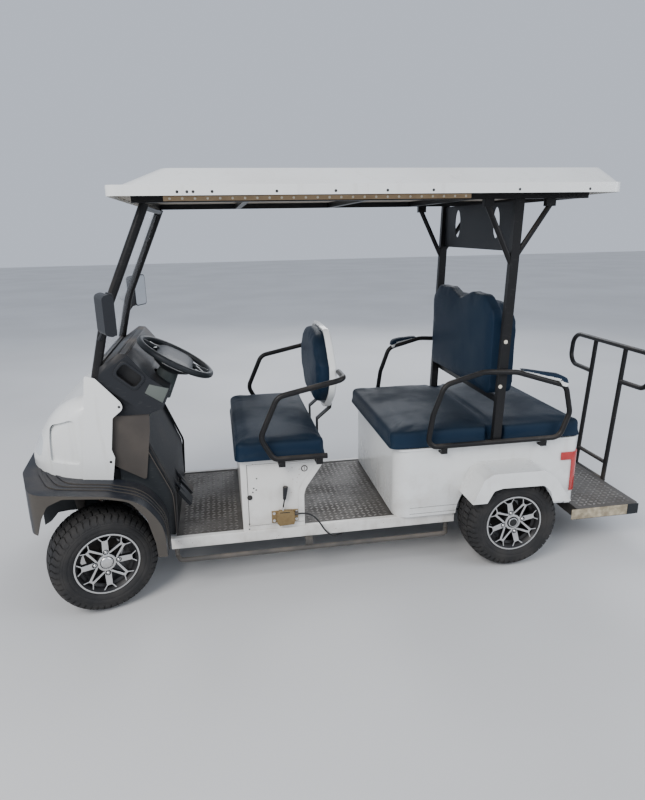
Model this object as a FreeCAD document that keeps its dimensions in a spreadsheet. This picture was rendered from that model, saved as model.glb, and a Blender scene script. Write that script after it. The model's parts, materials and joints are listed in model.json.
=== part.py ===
import FreeCAD
import Part
import Sketcher
import math
import os

# Four-seat electric golf cart with a long roof, back-to-back rear seats and a rear step.
# Frame: +X points forwards, +Y to the cart's left, +Z up, the ground at Z = 0.
# Lengths along X are laid out from the middle between the axles, and every sub-part's
# Placement then moves them so that the origin is under the middle of the whole cart.

doc = FreeCAD.newDocument("GolfCart")
sheet = doc.addObject("Spreadsheet::Sheet", "Sizes")

# Driving dimensions in millimetres and degrees: alias, value, meaning.
SIZES = [
    ("clearance", 0.3, "gap between seated pieces"),
    ("front_axle_x", 974, "kingpin axis ahead of the middle"),
    ("rear_axle_x", -952, "rear axle behind the middle"),
    ("wheel_centre_y", 460, "middle of each tyre"),
    ("kingpin_y", 375, "kingpin axis from the centre line"),
    ("steer_angle", 20, "left turn of the parked front wheels"),
    ("tyre_radius", 230, "outside radius of the tyres"),
    ("tyre_width", 200, "section width of the tyres"),
    ("rim_radius", 139, "edge of the rim flange"),
    ("rim_width", 176, "width of the rim over its flanges"),
    ("rim_barrel", 106, "inside radius of the rim barrel"),
    ("rim_seat", 12, "rim flange over the tyre's bead seat"),
    ("rim_flange", 7, "thickness of the rim flanges"),
    ("rim_lip", 7.5, "width of the bright lip"),
    ("face_inset", 7, "wheel face in from the rim's edge"),
    ("face_dish", 10, "fall of the spokes towards the hub"),
    ("spoke_thick", 20, "depth of the spokes"),
    ("hub_radius", 42, "radius of the hub"),
    ("hub_depth", 60, "depth of the hub"),
    ("cap_radius", 24, "radius of the hub cap"),
    ("nut_circle", 50, "wheel nuts from the axle"),
    ("nut_well", 11.5, "radius of the wells round the wheel nuts"),
    ("tyre_shoulder", 12, "rounding of the tyre's shoulders"),
    ("body_half_width", 425, "outside of the rear body"),
    ("sill_wall", 3, "wall of the sill channel"),
    ("sill_corner", 4, "outer corner radius of the sill channel"),
    ("axle_depth", 40, "front axle beam along X"),
    ("axle_low", 214, "underside of the front axle beam"),
    ("axle_high", 246, "top of the front axle beam"),
    ("axle_eye", 24, "radius of the front axle's ends"),
    ("kingpin_radius", 13, "kingpins"),
    ("running", 0.05, "running clearance of pins"),
    ("liner_thick", 4, "roof liner"),
    ("liner_corner", 48, "corner radius of the roof liner"),
    ("rail_seat", 10, "top of the roof frame over the roof's edge"),
    ("arch_half_width", 595, "outside of the rear flares"),
    ("sheet_wall", 4, "moulded and pressed panels"),
    ("floor_top", 245, "top of the tread plate floor"),
    ("floor_thick", 4, "tread plate"),
    ("floor_front", 628, "front edge of the floor"),
    ("floor_rear", -560, "rear edge of the floor"),
    ("floor_half_width", 382, "tread plate half width"),
    ("sill_front", 655, "front end of the door sills"),
    ("sill_rear", -704, "rear end of the door sills"),
    ("sill_height", 54, "height of the sill channel"),
    ("sill_width", 25, "width of the sill channel"),
    ("sill_rise", 6, "sill over the floor"),
    ("rail_y", 215, "middle of each chassis rail"),
    ("rail_width", 40, "width of a chassis rail"),
    ("rail_depth", 50, "height of a chassis rail"),
    ("step_tube", 11, "radius of the step bars"),
    ("step_y", 446, "step bar from the centre line"),
    ("step_z", 160, "height of the step bars"),
    ("fender_top", 572, "top face of the front fenders over their axle"),
    ("fender_pitch", 6.2, "rise of the fenders' top towards the front"),
    ("fender_half_width", 582, "outside of the front fenders"),
    ("nose_wall", 4, "wall of the nose"),
    ("nose_half_width", 401, "half width of the nose where it meets the cowl"),
    ("dash_half_width", 388, "half width of the dashboard"),
    ("pillar_radius", 19, "radius of the screen pillars"),
    ("pillar_y", 372, "screen pillars from the centre line"),
    ("glass_thick", 5, "windscreen"),
    ("roof_bottom", 1727, "lower edge of the roof's fascia"),
    ("roof_half_width", 615, "half width of the roof"),
    ("roof_front", 752, "front edge of the roof"),
    ("roof_rear", -1288, "rear edge of the roof"),
    ("roof_fascia", 38, "height of the roof's fascia"),
    ("roof_height", 104, "height of the roof over its edge"),
    ("roof_rail_y", 430, "roof rails from the centre line"),
    ("post_y", 432, "rear posts from the centre line"),
    ("post_foot_x", -886, "foot of the rear posts"),
    ("post_top_x", -925, "top of the rear posts"),
    ("post_depth", 40, "rear posts along X"),
    ("post_width", 28, "rear posts along Y"),
    ("box_top", 600, "top of the seat boxes"),
    ("seat_box_front", 325, "front of the front seat box"),
    ("seat_box_foot", 37, "rear of the front seat box at the floor"),
    ("seat_box_rear", -60, "rear of the front seat box at its top"),
    ("seat_box_half", 400, "half width of the front seat box"),
    ("seat_half_width", 438, "half width of the front cushion"),
    ("seat_front", 355, "front of the front cushion"),
    ("seat_rear", -72, "rear of the front cushion"),
    ("cushion_thick", 94, "thickness of the cushions"),
    ("cushion_corner", 45, "corner radius of the front cushion"),
    ("cushion_edge", 26, "rounding of the cushions' top edges"),
    ("battery_front", 300, "front of the batteries"),
    ("battery_length", 240, "batteries along X"),
    ("battery_width", 520, "batteries along Y"),
    ("battery_height", 230, "height of the batteries"),
    ("back_half_width", 305, "half width of the front backrest"),
    ("back_foot", 150, "half width of the front backrest's lower edge"),
    ("back_bottom", 765, "bottom of the front backrest"),
    ("back_top", 1172, "top of the front backrest"),
    ("back_thick", 62, "thickness of the front backrest's pad"),
    ("back_x", -62, "front of the front backrest at its foot"),
    ("back_lean", 9, "lean of the front backrest"),
    ("arm_tube", 12.5, "radius of the armrest tubes"),
    ("body_front", -400, "front of the rear body"),
    ("body_rear", -1335, "rear of the rear body"),
    ("body_corner", 72, "corner radius of the rear body"),
    ("house_radius", 250, "inside radius of the rear wheel housings"),
    ("house_y", 335, "inner wall of the rear wheel housings"),
    ("rear_seat_front", -362, "front of the rear cushions"),
    ("rear_seat_split", -878, "where the two rear cushions meet"),
    ("rear_seat_rear", -1342, "rear of the rear cushions"),
    ("rear_back_front", -852, "front of the rear backrests"),
    ("rear_back_thick", 55, "thickness of a rear backrest"),
    ("rear_back_bar", 12, "cross bars between the rear backrests"),
    ("rear_back_half", 405, "half width of the rear backrests"),
    ("rear_back_foot", 230, "half width of the rear backrests' lower edge"),
    ("platform_front", -1340, "front edge of the rear step"),
    ("platform_rear", -1684, "rear edge of the rear step"),
    ("platform_top", 222, "top of the rear step"),
    ("platform_depth", 58, "height of the rear step's edge"),
    ("platform_half", 455, "half width of the rear step"),
    ("hoop_lean", 50, "rearward lean of the grab rail"),
    ("hoop_top", 968, "height of the grab rail"),
    ("hoop_tube", 13, "radius of the grab rail tube"),
    ("hoop_post_y", 131, "grab rail posts from the centre line"),
    ("hoop_half_width", 352, "half width of the grab rail"),
    ("bumper_front", 1288, "front of the bumper"),
    ("wheel_x", 581, "centre of the steering wheel"),
    ("wheel_y", 200, "centre of the steering wheel"),
    ("wheel_z", 1054, "centre of the steering wheel"),
    ("wheel_radius", 172, "steering wheel to the middle of its rim"),
    ("wheel_grip", 14, "radius of the steering wheel's rim"),
    ("column_rake", 30, "lean of the steering column from upright"),
]
for row, (alias, value, meaning) in enumerate(SIZES, start=1):
    sheet.set(f"A{row}", meaning)
    sheet.set(f"B{row}", str(value))
    sheet.setAlias(f"B{row}", alias)
doc.recompute()


class Cells:
    """Gives a cell's value by its alias, as S.tyre_radius."""

    def __getattr__(self, alias):
        return float(sheet.get(alias))


S = Cells()
V = FreeCAD.Vector
hoop_x = S.platform_rear - S.hoop_tube - S.clearance
rear_reach = hoop_x - S.hoop_lean - S.hoop_tube
CENTRE_X = (S.bumper_front + rear_reach) / 2
HOME = FreeCAD.Placement(V(-CENTRE_X, 0, 0), FreeCAD.Rotation())
SIDES = (("left", 1), ("right", -1))
sub_parts = []


def bind(item, **cells):
    """Ties properties of an object to expressions on the sheet."""
    for name, expression in cells.items():
        item.setExpression(name, expression)


def keep(item, label, placement=HOME):
    """Names a finished object as a sub-part and puts it in the cart's frame."""
    item.Label = label
    item.Placement = placement
    sub_parts.append(item)
    return item


def shape_part(label, shape, placement=HOME):
    item = doc.addObject("Part::Feature", label)
    item.Shape = shape
    return keep(item, label, placement)


def plane_of(body, role):
    return [feature for feature in body.Origin.OriginFeatures if feature.Role == role][0]


def number(item, expression):
    return float(item.evalExpression(str(expression)))


def sketch_on(body, role, name, loops, offset="0"):
    """Sketch of closed outlines; each corner is a pair of expressions across and up its plane."""
    item = body.newObject("Sketcher::SketchObject", name)
    item.AttachmentSupport = [(plane_of(body, role), "")]
    item.MapMode = "FlatFace"
    item.setExpression("AttachmentOffset.Base.z", offset)
    for corners in loops:
        first = item.GeometryCount
        points = [V(number(item, across), number(item, up), 0) for across, up in corners]
        count = len(points)
        for i, point in enumerate(points):
            item.addGeometry(Part.LineSegment(point, points[(i + 1) % count]))
        for i in range(count):
            following = first + (i + 1) % count
            item.addConstraint(Sketcher.Constraint("Coincident", first + i, 2, following, 1))
        for i, corner in enumerate(corners):
            for kind, expression, place in zip(("DistanceX", "DistanceY"), corner, points[i]):
                index = item.addConstraint(Sketcher.Constraint(kind, -1, 1, first + i, 1, place))
                item.setExpression(f"Constraints[{index}]", str(expression))
    return item


def turned_body(name, profile):
    """PartDesign body of rows (radius, place along Y), turned about the Y axis."""
    body = doc.addObject("PartDesign::Body", name)
    sketch = sketch_on(body, "XY_Plane", name + "Profile", [profile])
    turning = body.newObject("PartDesign::Revolution", name + "Turned")
    turning.Profile = sketch
    turning.ReferenceAxis = (sketch, ["V_Axis"])
    turning.Angle = 360
    doc.recompute()
    return body


def padded_body(name, role, outline, length, offset="0"):
    """PartDesign body of one closed outline, padded to a length on both sides of its plane."""
    body = doc.addObject("PartDesign::Body", name)
    sketch = sketch_on(body, role, name + "Outline", [outline], offset)
    pad = body.newObject("PartDesign::Pad", name + "Pad")
    pad.Profile = sketch
    pad.SideType = "Symmetric"
    pad.setExpression("Length", length)
    doc.recompute()
    return body


def pocket_in(body, name, sketch, depth):
    """Pocket of a sketch to a depth behind its plane."""
    pocket = body.newObject("PartDesign::Pocket", name)
    pocket.Profile = sketch
    pocket.setExpression("Length", depth)
    before = body.Shape.Volume
    doc.recompute()
    if not pocket.Shape.Volume < before:
        raise RuntimeError(f"{name} cuts nothing")
    return pocket


def round_edges(body, name, radius, wanted):
    """Fillet of the body's edges that a test picks out."""
    tip = body.Tip
    names = [f"Edge{i}" for i, edge in enumerate(tip.Shape.Edges, start=1) if wanted(edge)]
    fillet = body.newObject("PartDesign::Fillet", name)
    fillet.Base = (tip, names)
    fillet.setExpression("Radius", radius)
    doc.recompute()
    return fillet


def primitive(kind, name, place, **sizes):
    """A Part primitive whose sizes and place are expressions on the sheet."""
    item = doc.addObject("Part::" + kind, name)
    bind(item, **sizes)
    for axis, expression in zip("xyz", place):
        item.setExpression("Placement.Base." + axis, expression)
    doc.recompute()
    return item


def group(kind, label, *items):
    """Part::Compound of several objects, or Part::MultiFuse of several into one."""
    joined = doc.addObject("Part::" + kind, label)
    if kind == "Compound":
        joined.Links = list(items)
    else:
        joined.Shapes = list(items)
        joined.Refine = True
    doc.recompute()
    return joined


def pair_part(label, item):
    """Keeps an object and its mirror image across the centre line as one sub-part."""
    twin = doc.addObject("Part::Mirroring", item.Name + "Twin")
    twin.Source = item
    twin.Normal = V(0, 1, 0)
    return keep(group("Compound", label, item, twin), label)


def cut_from(name, base, *tools):
    """Part::Cut of a base by one or more tools."""
    cut = doc.addObject("Part::Cut", name)
    cut.Base = base
    cut.Tool = tools[0] if len(tools) == 1 else group("MultiFuse", name + "Tools", *tools)
    cut.Refine = True
    doc.recompute()
    return cut


def upright(edge):
    """True of an edge that runs straight up."""
    size = edge.BoundBox
    return size.XLength < 1e-3 and size.YLength < 1e-3


def level_at(height):
    """Test for the edges that lie at one height."""
    return lambda edge: abs(edge.BoundBox.ZMin - height) < 1e-3 and edge.BoundBox.ZLength < 1e-3


def rounded(corners, closed=True):
    """Edges through corners (point, radius), each corner a tangent arc of its radius."""
    count = len(corners)
    entries, exits, arcs = [], [], []
    for i, (point, radius) in enumerate(corners):
        at_end = not closed and i in (0, count - 1)
        if radius == 0 or at_end:
            entries.append(point)
            exits.append(point)
            arcs.append(None)
            continue
        to_last = (corners[i - 1][0] - point).normalize()
        to_next = (corners[(i + 1) % count][0] - point).normalize()
        half_turn = to_last.getAngle(to_next) / 2
        reach = radius / math.tan(half_turn)
        entries.append(point + to_last * reach)
        exits.append(point + to_next * reach)
        middle = (to_last + to_next).normalize()
        crown = point + middle * (radius / math.sin(half_turn) - radius)
        arcs.append(Part.Arc(entries[i], crown, exits[i]).toShape())
    edges = []
    for i in range(count):
        if arcs[i]:
            edges.append(arcs[i])
        following = (i + 1) % count
        last = not closed and i == count - 1
        if not last and exits[i].distanceToPoint(entries[following]) > 1e-6:
            edges.append(Part.LineSegment(exits[i], entries[following]).toShape())
    return edges


def outline(corners):
    return Part.Face(Part.Wire(rounded(corners)))


def side_prism(table, y_from, y_to):
    """Solid between two planes of constant Y from a side outline of rows x, z, radius."""
    face = outline([(V(x, y_from, z), radius) for x, z, radius in table])
    return face.extrude(V(0, y_to - y_from, 0))


def plan_prism(table, z_from, z_to):
    """Solid between two heights from a plan outline of rows x, y, radius."""
    face = outline([(V(x, y, z_from), radius) for x, y, radius in table])
    return face.extrude(V(0, 0, z_to - z_from))


def front_prism(table, x_from, x_to):
    """Solid between two planes of constant X from a front outline of rows y, z, radius."""
    face = outline([(V(x_from, y, z), radius) for y, z, radius in table])
    return face.extrude(V(x_to - x_from, 0, 0))


def box(x_from, x_to, y_from, y_to, z_from, z_to):
    return Part.makeBox(x_to - x_from, y_to - y_from, z_to - z_from, V(x_from, y_from, z_from))


def rod(start, end, radius):
    return Part.makeCylinder(radius, start.distanceToPoint(end), start, end - start)


def tube(route, radius, closed=False):
    """Round bar along a route of rows point, bend radius."""
    path = Part.Wire(rounded(route, closed))
    start = path.OrderedEdges[0]
    direction = start.tangentAt(start.FirstParameter)
    ring = Part.Wire(Part.makeCircle(radius, start.valueAt(start.FirstParameter), direction))
    return path.makePipeShell([ring], True, False)


def mirrored(shape):
    return shape.mirror(V(0, 0, 0), V(0, 1, 0))


def pair(shape):
    """A shape on the left and its mirror image on the right."""
    return Part.makeCompound([shape, mirrored(shape)])


def rounded_box_plan(x_from, x_to, half, front_radius, rear_radius):
    """Plan outline of a box that is symmetric about the centre line."""
    return [(x_from, -half, rear_radius), (x_to, -half, front_radius),
            (x_to, half, front_radius), (x_from, half, rear_radius)]


# Wheels: a tyre and an alloy rim of eight spokes, made once on the Y axis and placed four times.

def tyre_body():
    """Tyre of tread, shoulders, walls and beads, open inside where the rim carries it."""
    radius, half = "Sizes.tyre_radius", "Sizes.tyre_width / 2"
    seat = "Sizes.rim_radius - Sizes.rim_seat"
    lip = "Sizes.rim_radius + 2"
    bead = "Sizes.rim_width / 2 - Sizes.rim_flange - 2 - Sizes.clearance"
    crown = [(radius, f"0.34 * ({half})"), (f"{radius} - 7", f"{half} - 20"),
             (f"{radius} - 34", f"{half} - 3"), (f"{seat} + 44", half), (lip, f"{bead} + 12"),
             (lip, bead), (seat, bead)]
    mirror = [(across, f"-({along})") for across, along in reversed(crown)]
    body = turned_body("Tyre", crown + mirror)

    def shoulder(edge):
        return any(abs(edge.BoundBox.XMax - edge_radius) < 0.01
                   for edge_radius in (S.tyre_radius - 7, S.tyre_radius - 34))

    round_edges(body, "TyreShoulders", "Sizes.tyre_shoulder", shoulder)
    return body


SPOKE_GAP = [(14.1, 47.7), (12.5, 103), (31, 127.5), (68.2, 112.1), (64, 81.7)]
SPOKE_FORK = [(0, 106), (9.5, 107.5), (26.3, 129.3), (0, 131), (-26.3, 129.3), (-9.5, 107.5)]
SPOKE_SLOT = [(0, 97), (3.5, 94), (15.5, 44.5), (-15.5, 44.5), (-3.5, 94)]
GAP_ROOM = 131.3
SPOKE_PAIRS = 4


def spoke_loop(rows, turn=0, flip=1):
    """Rows (across, outwards) of the face pattern, turned about the axle, as expressions."""
    rotation = FreeCAD.Rotation(V(0, 0, 1), -turn)
    reach = f"(Sizes.rim_radius - Sizes.rim_lip) / {GAP_ROOM}"
    points = [rotation.multVec(V(flip * across, out, 0)) for across, out in rows]
    return [(f"{point.x} * {reach}", f"{point.y} * {reach}") for point in points]


def rim_body():
    """Alloy wheel: flanged barrel and a dished face of solid and split spokes with forked tips."""
    half, edge = "Sizes.rim_width / 2", "Sizes.rim_radius"
    flange = "Sizes.rim_flange"
    seat = "Sizes.rim_radius - Sizes.rim_seat - Sizes.clearance"
    face = f"({half} - Sizes.face_inset)"
    root = f"({face} - Sizes.face_dish)"
    lip = f"{edge} - Sizes.rim_lip"
    barrel, hub, cap = "Sizes.rim_barrel", "Sizes.hub_radius", "Sizes.cap_radius"
    profile = [(f"{barrel} + 4", f"-({half})"), (edge, f"-({half})"), (edge, f"{flange} - {half}"),
               (seat, f"{flange} + 2 - {half}"), (seat, f"{half} - {flange} - 2"),
               (edge, f"{half} - {flange}"), (edge, half), (lip, half), (lip, face),
               (f"{hub} - 2", root), (f"{hub} - 2", f"{root} + 3"), (f"{cap} + 3", f"{root} + 4"),
               (cap, f"{face} - 1"), ("0", face), ("0", f"{face} - Sizes.hub_depth"),
               (hub, f"{face} - Sizes.hub_depth"), (hub, f"{root} - Sizes.spoke_thick"),
               (barrel, f"{face} - Sizes.spoke_thick"), (barrel, f"10 - {half}")]
    body = turned_body("Rim", profile)
    loops = [spoke_loop(SPOKE_GAP), spoke_loop(SPOKE_GAP, flip=-1), spoke_loop(SPOKE_FORK),
             spoke_loop(SPOKE_FORK, 45), spoke_loop(SPOKE_SLOT, 45)]
    behind = f"Sizes.spoke_thick + Sizes.face_dish + 1 - {face}"
    gaps = sketch_on(body, "XZ_Plane", "SpokeGaps", loops, behind)
    gap = pocket_in(body, "SpokeGap", gaps, "Sizes.spoke_thick + Sizes.face_dish + 2")
    well = body.newObject("Sketcher::SketchObject", "NutWell")
    well.AttachmentSupport = [(plane_of(body, "XZ_Plane"), "")]
    well.MapMode = "FlatFace"
    well.setExpression("AttachmentOffset.Base.z", f"Sizes.spoke_thick / 2 + Sizes.face_dish - {face}")
    well.addGeometry(Part.Circle(V(0, S.nut_circle, 0), V(0, 0, 1), S.nut_well))
    well.addConstraint(Sketcher.Constraint("PointOnObject", 0, 3, -2))
    for kind, expression, value in (("DistanceY", "Sizes.nut_circle", S.nut_circle),
                                    ("Radius", "Sizes.nut_well", S.nut_well)):
        if kind == "Radius":
            index = well.addConstraint(Sketcher.Constraint(kind, 0, value))
        else:
            index = well.addConstraint(Sketcher.Constraint(kind, -1, 1, 0, 3, value))
        well.setExpression(f"Constraints[{index}]", expression)
    hole = pocket_in(body, "NutWellCut", well, "Sizes.spoke_thick + Sizes.face_dish")
    round_wheel = body.newObject("PartDesign::PolarPattern", "SpokesRound")
    round_wheel.Originals = [gap, hole]
    round_wheel.Axis = (gaps, ["N_Axis"])
    round_wheel.Angle = 360
    round_wheel.Occurrences = SPOKE_PAIRS
    body.Tip = round_wheel
    doc.recompute()
    return body


TYRE = tyre_body()
RIM = rim_body()
axle_height = S.tyre_radius
spindle_end = S.wheel_centre_y + S.rim_width / 2 - S.face_inset - S.hub_depth - S.clearance


def wheel_placement(x, side, steered):
    """Puts a wheel on its axle, the outer face away from the centre line."""
    outward = FreeCAD.Rotation(V(0, 0, 1), 0 if side > 0 else 180)
    rest = FreeCAD.Placement(V(x, side * S.wheel_centre_y, axle_height), outward)
    turn = FreeCAD.Placement()
    if steered:
        turn = steer_placement(side)
    return HOME.multiply(turn).multiply(rest)


def steer_placement(side):
    """Turn about a kingpin to the parked steering angle."""
    pivot = V(S.front_axle_x, side * S.kingpin_y, 0)
    rotation = FreeCAD.Rotation(V(0, 0, 1), S.steer_angle)
    return FreeCAD.Placement(V(0, 0, 0), rotation, pivot)


for side_name, side in SIDES:
    for end_name, x, steered in (("front", S.front_axle_x, True), ("rear", S.rear_axle_x, False)):
        place = wheel_placement(x, side, steered)
        for piece_name, body in (("tyre", TYRE), ("rim", RIM)):
            label = f"{piece_name}_{end_name}_{side_name}"
            keep(group("Compound", label, body), label, place)


# Steering knuckles, tie rod and front axle.

ARM_BACK = 100
ARM_IN = 36
ARM_THICK = 12
STUD_RADIUS = 5
ARM_Z = 178
EYE_RADIUS = 13


def knuckle_shape(side):
    """Kingpin sleeve in two ears, hub flange and spindle, and the steering arm."""
    x, y = S.front_axle_x, side * S.kingpin_y
    out = side * spindle_end
    pin = rod(V(x, y, 165), V(x, y, 300), S.kingpin_radius)
    ears = [box(x - 20, x + 20, y - 20, y + 20, 186, S.axle_low - 0.5),
            box(x - 20, x + 20, y - 20, y + 20, S.axle_high + 0.5, 272)]
    web = box(x - 18, x + 18, min(y + side * 27, y + side * 36), max(y + side * 27, y + side * 36),
              186, 272)
    ears_out = [box(x - 18, x + 18, min(y, y + side * 30), max(y, y + side * 30), low, low + 20)
                for low in (188, 252)]
    spindle = rod(V(x, y + side * 28, axle_height), V(x, out, axle_height), 22)
    drum = rod(V(x, y + side * 34, axle_height), V(x, y + side * 66, axle_height), 78)
    eye = V(x - ARM_BACK, y - side * ARM_IN, 0)
    arm = plan_prism([(x + 12, y - 14, 0), (x + 12, y + 14, 0), (eye.x, eye.y + 12, 0),
                      (eye.x, eye.y - 12, 0)], ARM_Z, ARM_Z + ARM_THICK)
    boss = Part.makeCylinder(EYE_RADIUS, ARM_THICK, V(eye.x, eye.y, ARM_Z))
    joined = pin.fuse(ears + ears_out + [web, spindle, drum, arm, boss])
    if side > 0:
        joined = joined.fuse(Part.makeCylinder(STUD_RADIUS, ARM_THICK + 22, V(eye.x, eye.y, ARM_Z)))
    return joined.removeSplitter()


for side_name, side in SIDES:
    place = HOME.multiply(steer_placement(side))
    shape_part(f"knuckle_{side_name}", knuckle_shape(side), place)


def tie_rod_shape():
    """Rod between the steering arms, over their eyes and pinned to the left one."""
    eyes = []
    for side in (1, -1):
        pivot = V(S.front_axle_x, side * S.kingpin_y, 0)
        reach = V(-ARM_BACK, -side * ARM_IN, 0)
        turned = FreeCAD.Rotation(V(0, 0, 1), S.steer_angle).multVec(reach)
        eyes.append(pivot + turned)
    low = ARM_Z + ARM_THICK + S.clearance
    left, right = [V(eye.x, eye.y, low + 9) for eye in eyes]
    shape = rod(left, right, 8)
    for eye in eyes:
        shape = shape.fuse(Part.makeCylinder(EYE_RADIUS, 18, V(eye.x, eye.y, low)))
    bore = Part.makeCylinder(STUD_RADIUS + S.running, 40, V(left.x, left.y, low - 10))
    return shape.cut(bore).removeSplitter()


shape_part("tie_rod", tie_rod_shape())


def front_axle_beam():
    """Beam between the kingpins, with a bored eye at each end."""
    deep, high = "Sizes.axle_depth", "Sizes.axle_high - Sizes.axle_low"
    beam = primitive("Box", "AxleBeam", (f"Sizes.front_axle_x - {deep} / 2", "-Sizes.kingpin_y",
                                         "Sizes.axle_low"),
                     Length=deep, Width="2 * Sizes.kingpin_y", Height=high)
    eyes, bores = [], []
    for side_name, sign in (("Left", ""), ("Right", "-")):
        middle = ("Sizes.front_axle_x", sign + "Sizes.kingpin_y")
        eyes.append(primitive("Cylinder", "AxleEye" + side_name, middle + ("Sizes.axle_low",),
                              Radius="Sizes.axle_eye", Height=high))
        bores.append(primitive("Cylinder", "AxleBore" + side_name, middle + ("Sizes.axle_low - 10",),
                               Radius="Sizes.kingpin_radius + Sizes.running", Height=f"{high} + 20"))
    return cut_from("AxleBored", group("MultiFuse", "AxleFused", beam, *eyes), *bores)


keep(group("Compound", "front_axle", front_axle_beam()), "front_axle")


def rear_axle_shape():
    """Axle tube with brake drums, a differential and the drive motor as one plain block."""
    x, z = S.rear_axle_x, axle_height
    drum_out = S.wheel_centre_y - S.rim_width / 2 + 66
    tube_solid = rod(V(x, -drum_out + 20, z), V(x, drum_out - 20, z), 30)
    shape = tube_solid.fuse(Part.makeSphere(88, V(x, 60, z)))
    shape = shape.fuse(rod(V(x + 40, 60, z), V(x + 250, 60, z), 80))
    for side in (1, -1):
        drum = rod(V(x, side * (drum_out - 46), z), V(x, side * drum_out, z), 82)
        stub = rod(V(x, side * (drum_out - 10), z), V(x, side * spindle_end, z), 22)
        shape = shape.fuse([drum, stub])
    return shape.removeSplitter()


shape_part("rear_axle", rear_axle_shape())


# Chassis: two rails kicked up over the axles, joists under the floor and a front hoop.

RAIL_TOP = S.floor_top - S.floor_thick - S.clearance
REAR_KICK = 366
FRONT_KICK = 452
TOWER_TOP = 512


def mould_top(x):
    """Height of the fenders' sloping top."""
    return S.fender_top + (x - S.front_axle_x) * math.tan(math.radians(S.fender_pitch))


def chassis_shape():
    deep = S.rail_depth
    top = RAIL_TOP
    rows = [(1150, FRONT_KICK, 0), (745, FRONT_KICK, 30), (650, top, 30), (-575, top, 30),
            (-700, REAR_KICK, 30), (-1318, REAR_KICK, 0), (-1318, REAR_KICK - deep, 0),
            (-730, REAR_KICK - deep, 30), (-600, top - deep, 30), (680, top - deep, 30),
            (775, FRONT_KICK - deep, 30), (1150, FRONT_KICK - deep, 0)]
    half = S.rail_width / 2
    pieces = []
    for side in (1, -1):
        pieces.append(side_prism(rows, side * S.rail_y - half, side * S.rail_y + half))
    reach = S.floor_half_width
    for x in (610, 200, -150, -540):
        pieces.append(box(x - 20, x + 20, -reach, reach, top - 34, top))
    for x, z in ((1130, FRONT_KICK), (-1298, REAR_KICK)):
        pieces.append(box(x - 20, x + 20, -S.rail_y, S.rail_y, z - deep, z))
    x = S.front_axle_x
    side_face = S.rail_y + half
    for side in (1, -1):
        inner, outer = sorted((side * side_face, side * (side_face + 6)))
        pieces.append(box(x - 75, x + 10, inner, outer, FRONT_KICK - deep, TOWER_TOP))
        inner, outer = sorted((side * side_face, side * 322))
        pieces.append(box(x - 75, x + 10, inner, outer, TOWER_TOP - 6, TOWER_TOP))
        inner, outer = sorted((side * 195, side * 235))
        head = mould_top(1085) - S.sheet_wall - S.clearance
        pieces.append(box(1085, 1125, inner, outer, FRONT_KICK - 10, head))
    return pieces[0].fuse(pieces[1:]).removeSplitter()


shape_part("chassis_frame", chassis_shape())

floor = primitive("Box", "Floor", ("Sizes.floor_rear", "-Sizes.floor_half_width",
                                   "Sizes.floor_top - Sizes.floor_thick"),
                  Length="Sizes.floor_front - Sizes.floor_rear", Width="2 * Sizes.floor_half_width",
                  Height="Sizes.floor_thick")
keep(group("Compound", "floor_deck", floor), "floor_deck")


SILL_TOP = S.floor_top + S.sill_rise


def sill_body():
    """Channel open to the inside, its outer web next to the passengers' feet."""
    inner = "Sizes.floor_half_width + 2 * Sizes.clearance"
    outer = f"{inner} + Sizes.sill_width"
    high = "Sizes.floor_top + Sizes.sill_rise"
    low = f"{high} - Sizes.sill_height"
    wall = "Sizes.sill_wall"
    section = [(inner, low), (outer, low), (outer, high), (inner, high), (inner, f"{high} - {wall}"),
               (f"{outer} - {wall}", f"{high} - {wall}"), (f"{outer} - {wall}", f"{low} + {wall}"),
               (inner, f"{low} + {wall}")]
    body = padded_body("Sill", "YZ_Plane", section, "Sizes.sill_front - Sizes.sill_rear",
                       "(Sizes.sill_front + Sizes.sill_rear) / 2")
    reach = S.floor_half_width + 2 * S.clearance + S.sill_width

    def along_at(place):
        return lambda edge: edge.BoundBox.XLength > 100 and abs(edge.BoundBox.YMin - place) < 1e-3

    round_edges(body, "SillCorners", "Sizes.sill_corner", along_at(reach))
    round_edges(body, "SillInside", "Sizes.sill_corner / 2", along_at(reach - S.sill_wall))
    return body


pair_part("door_sills", sill_body())


def step_bar_shape():
    high = SILL_TOP - S.sill_height - S.clearance
    seat_y = S.floor_half_width + 14
    front, rear = S.sill_front - 22, S.sill_rear + 38
    route = [(V(front, seat_y, high), 0), (V(front, seat_y, S.step_z), 16),
             (V(front - 18, S.step_y, S.step_z), 24), (V(rear + 18, S.step_y, S.step_z), 24),
             (V(rear, seat_y, S.step_z), 16), (V(rear, seat_y, high), 0)]
    bar = tube(route, S.step_tube)
    hanger = box(6, 40, S.step_y - 44, S.step_y - 6, high - 5, high)
    leg = box(6, 40, S.step_y - 12, S.step_y - 6, S.step_z, high)
    return bar.fuse([hanger, leg]).removeSplitter()


shape_part("step_bars", pair(step_bar_shape()))


# Front end: black bumper and fender moulding, white nose, cowl sides, headlamps.

def moulding_plan(inset):
    half = S.fender_half_width - inset
    front = S.bumper_front - inset
    return [(600, -half, 0), (1178 - inset, -half, 90), (front - 26, -340, 200), (front, 0, 1500),
            (front - 26, 340, 200), (1178 - inset, half, 90), (600, half, 0)]


def moulding_side(inset):
    """Side outline of the bumper and fender from its front lip to the rear foot."""
    return [(1330, 408, 0), (1330, mould_top(1330) - inset, 0), (880, mould_top(880) - inset, 190 - inset),
            (740, 525 - inset, 180 - inset), (660 + inset, 400, 180 - inset), (656 + inset, 262, 0),
            (694, 262, 0), (1160, 408, 0)]


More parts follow.
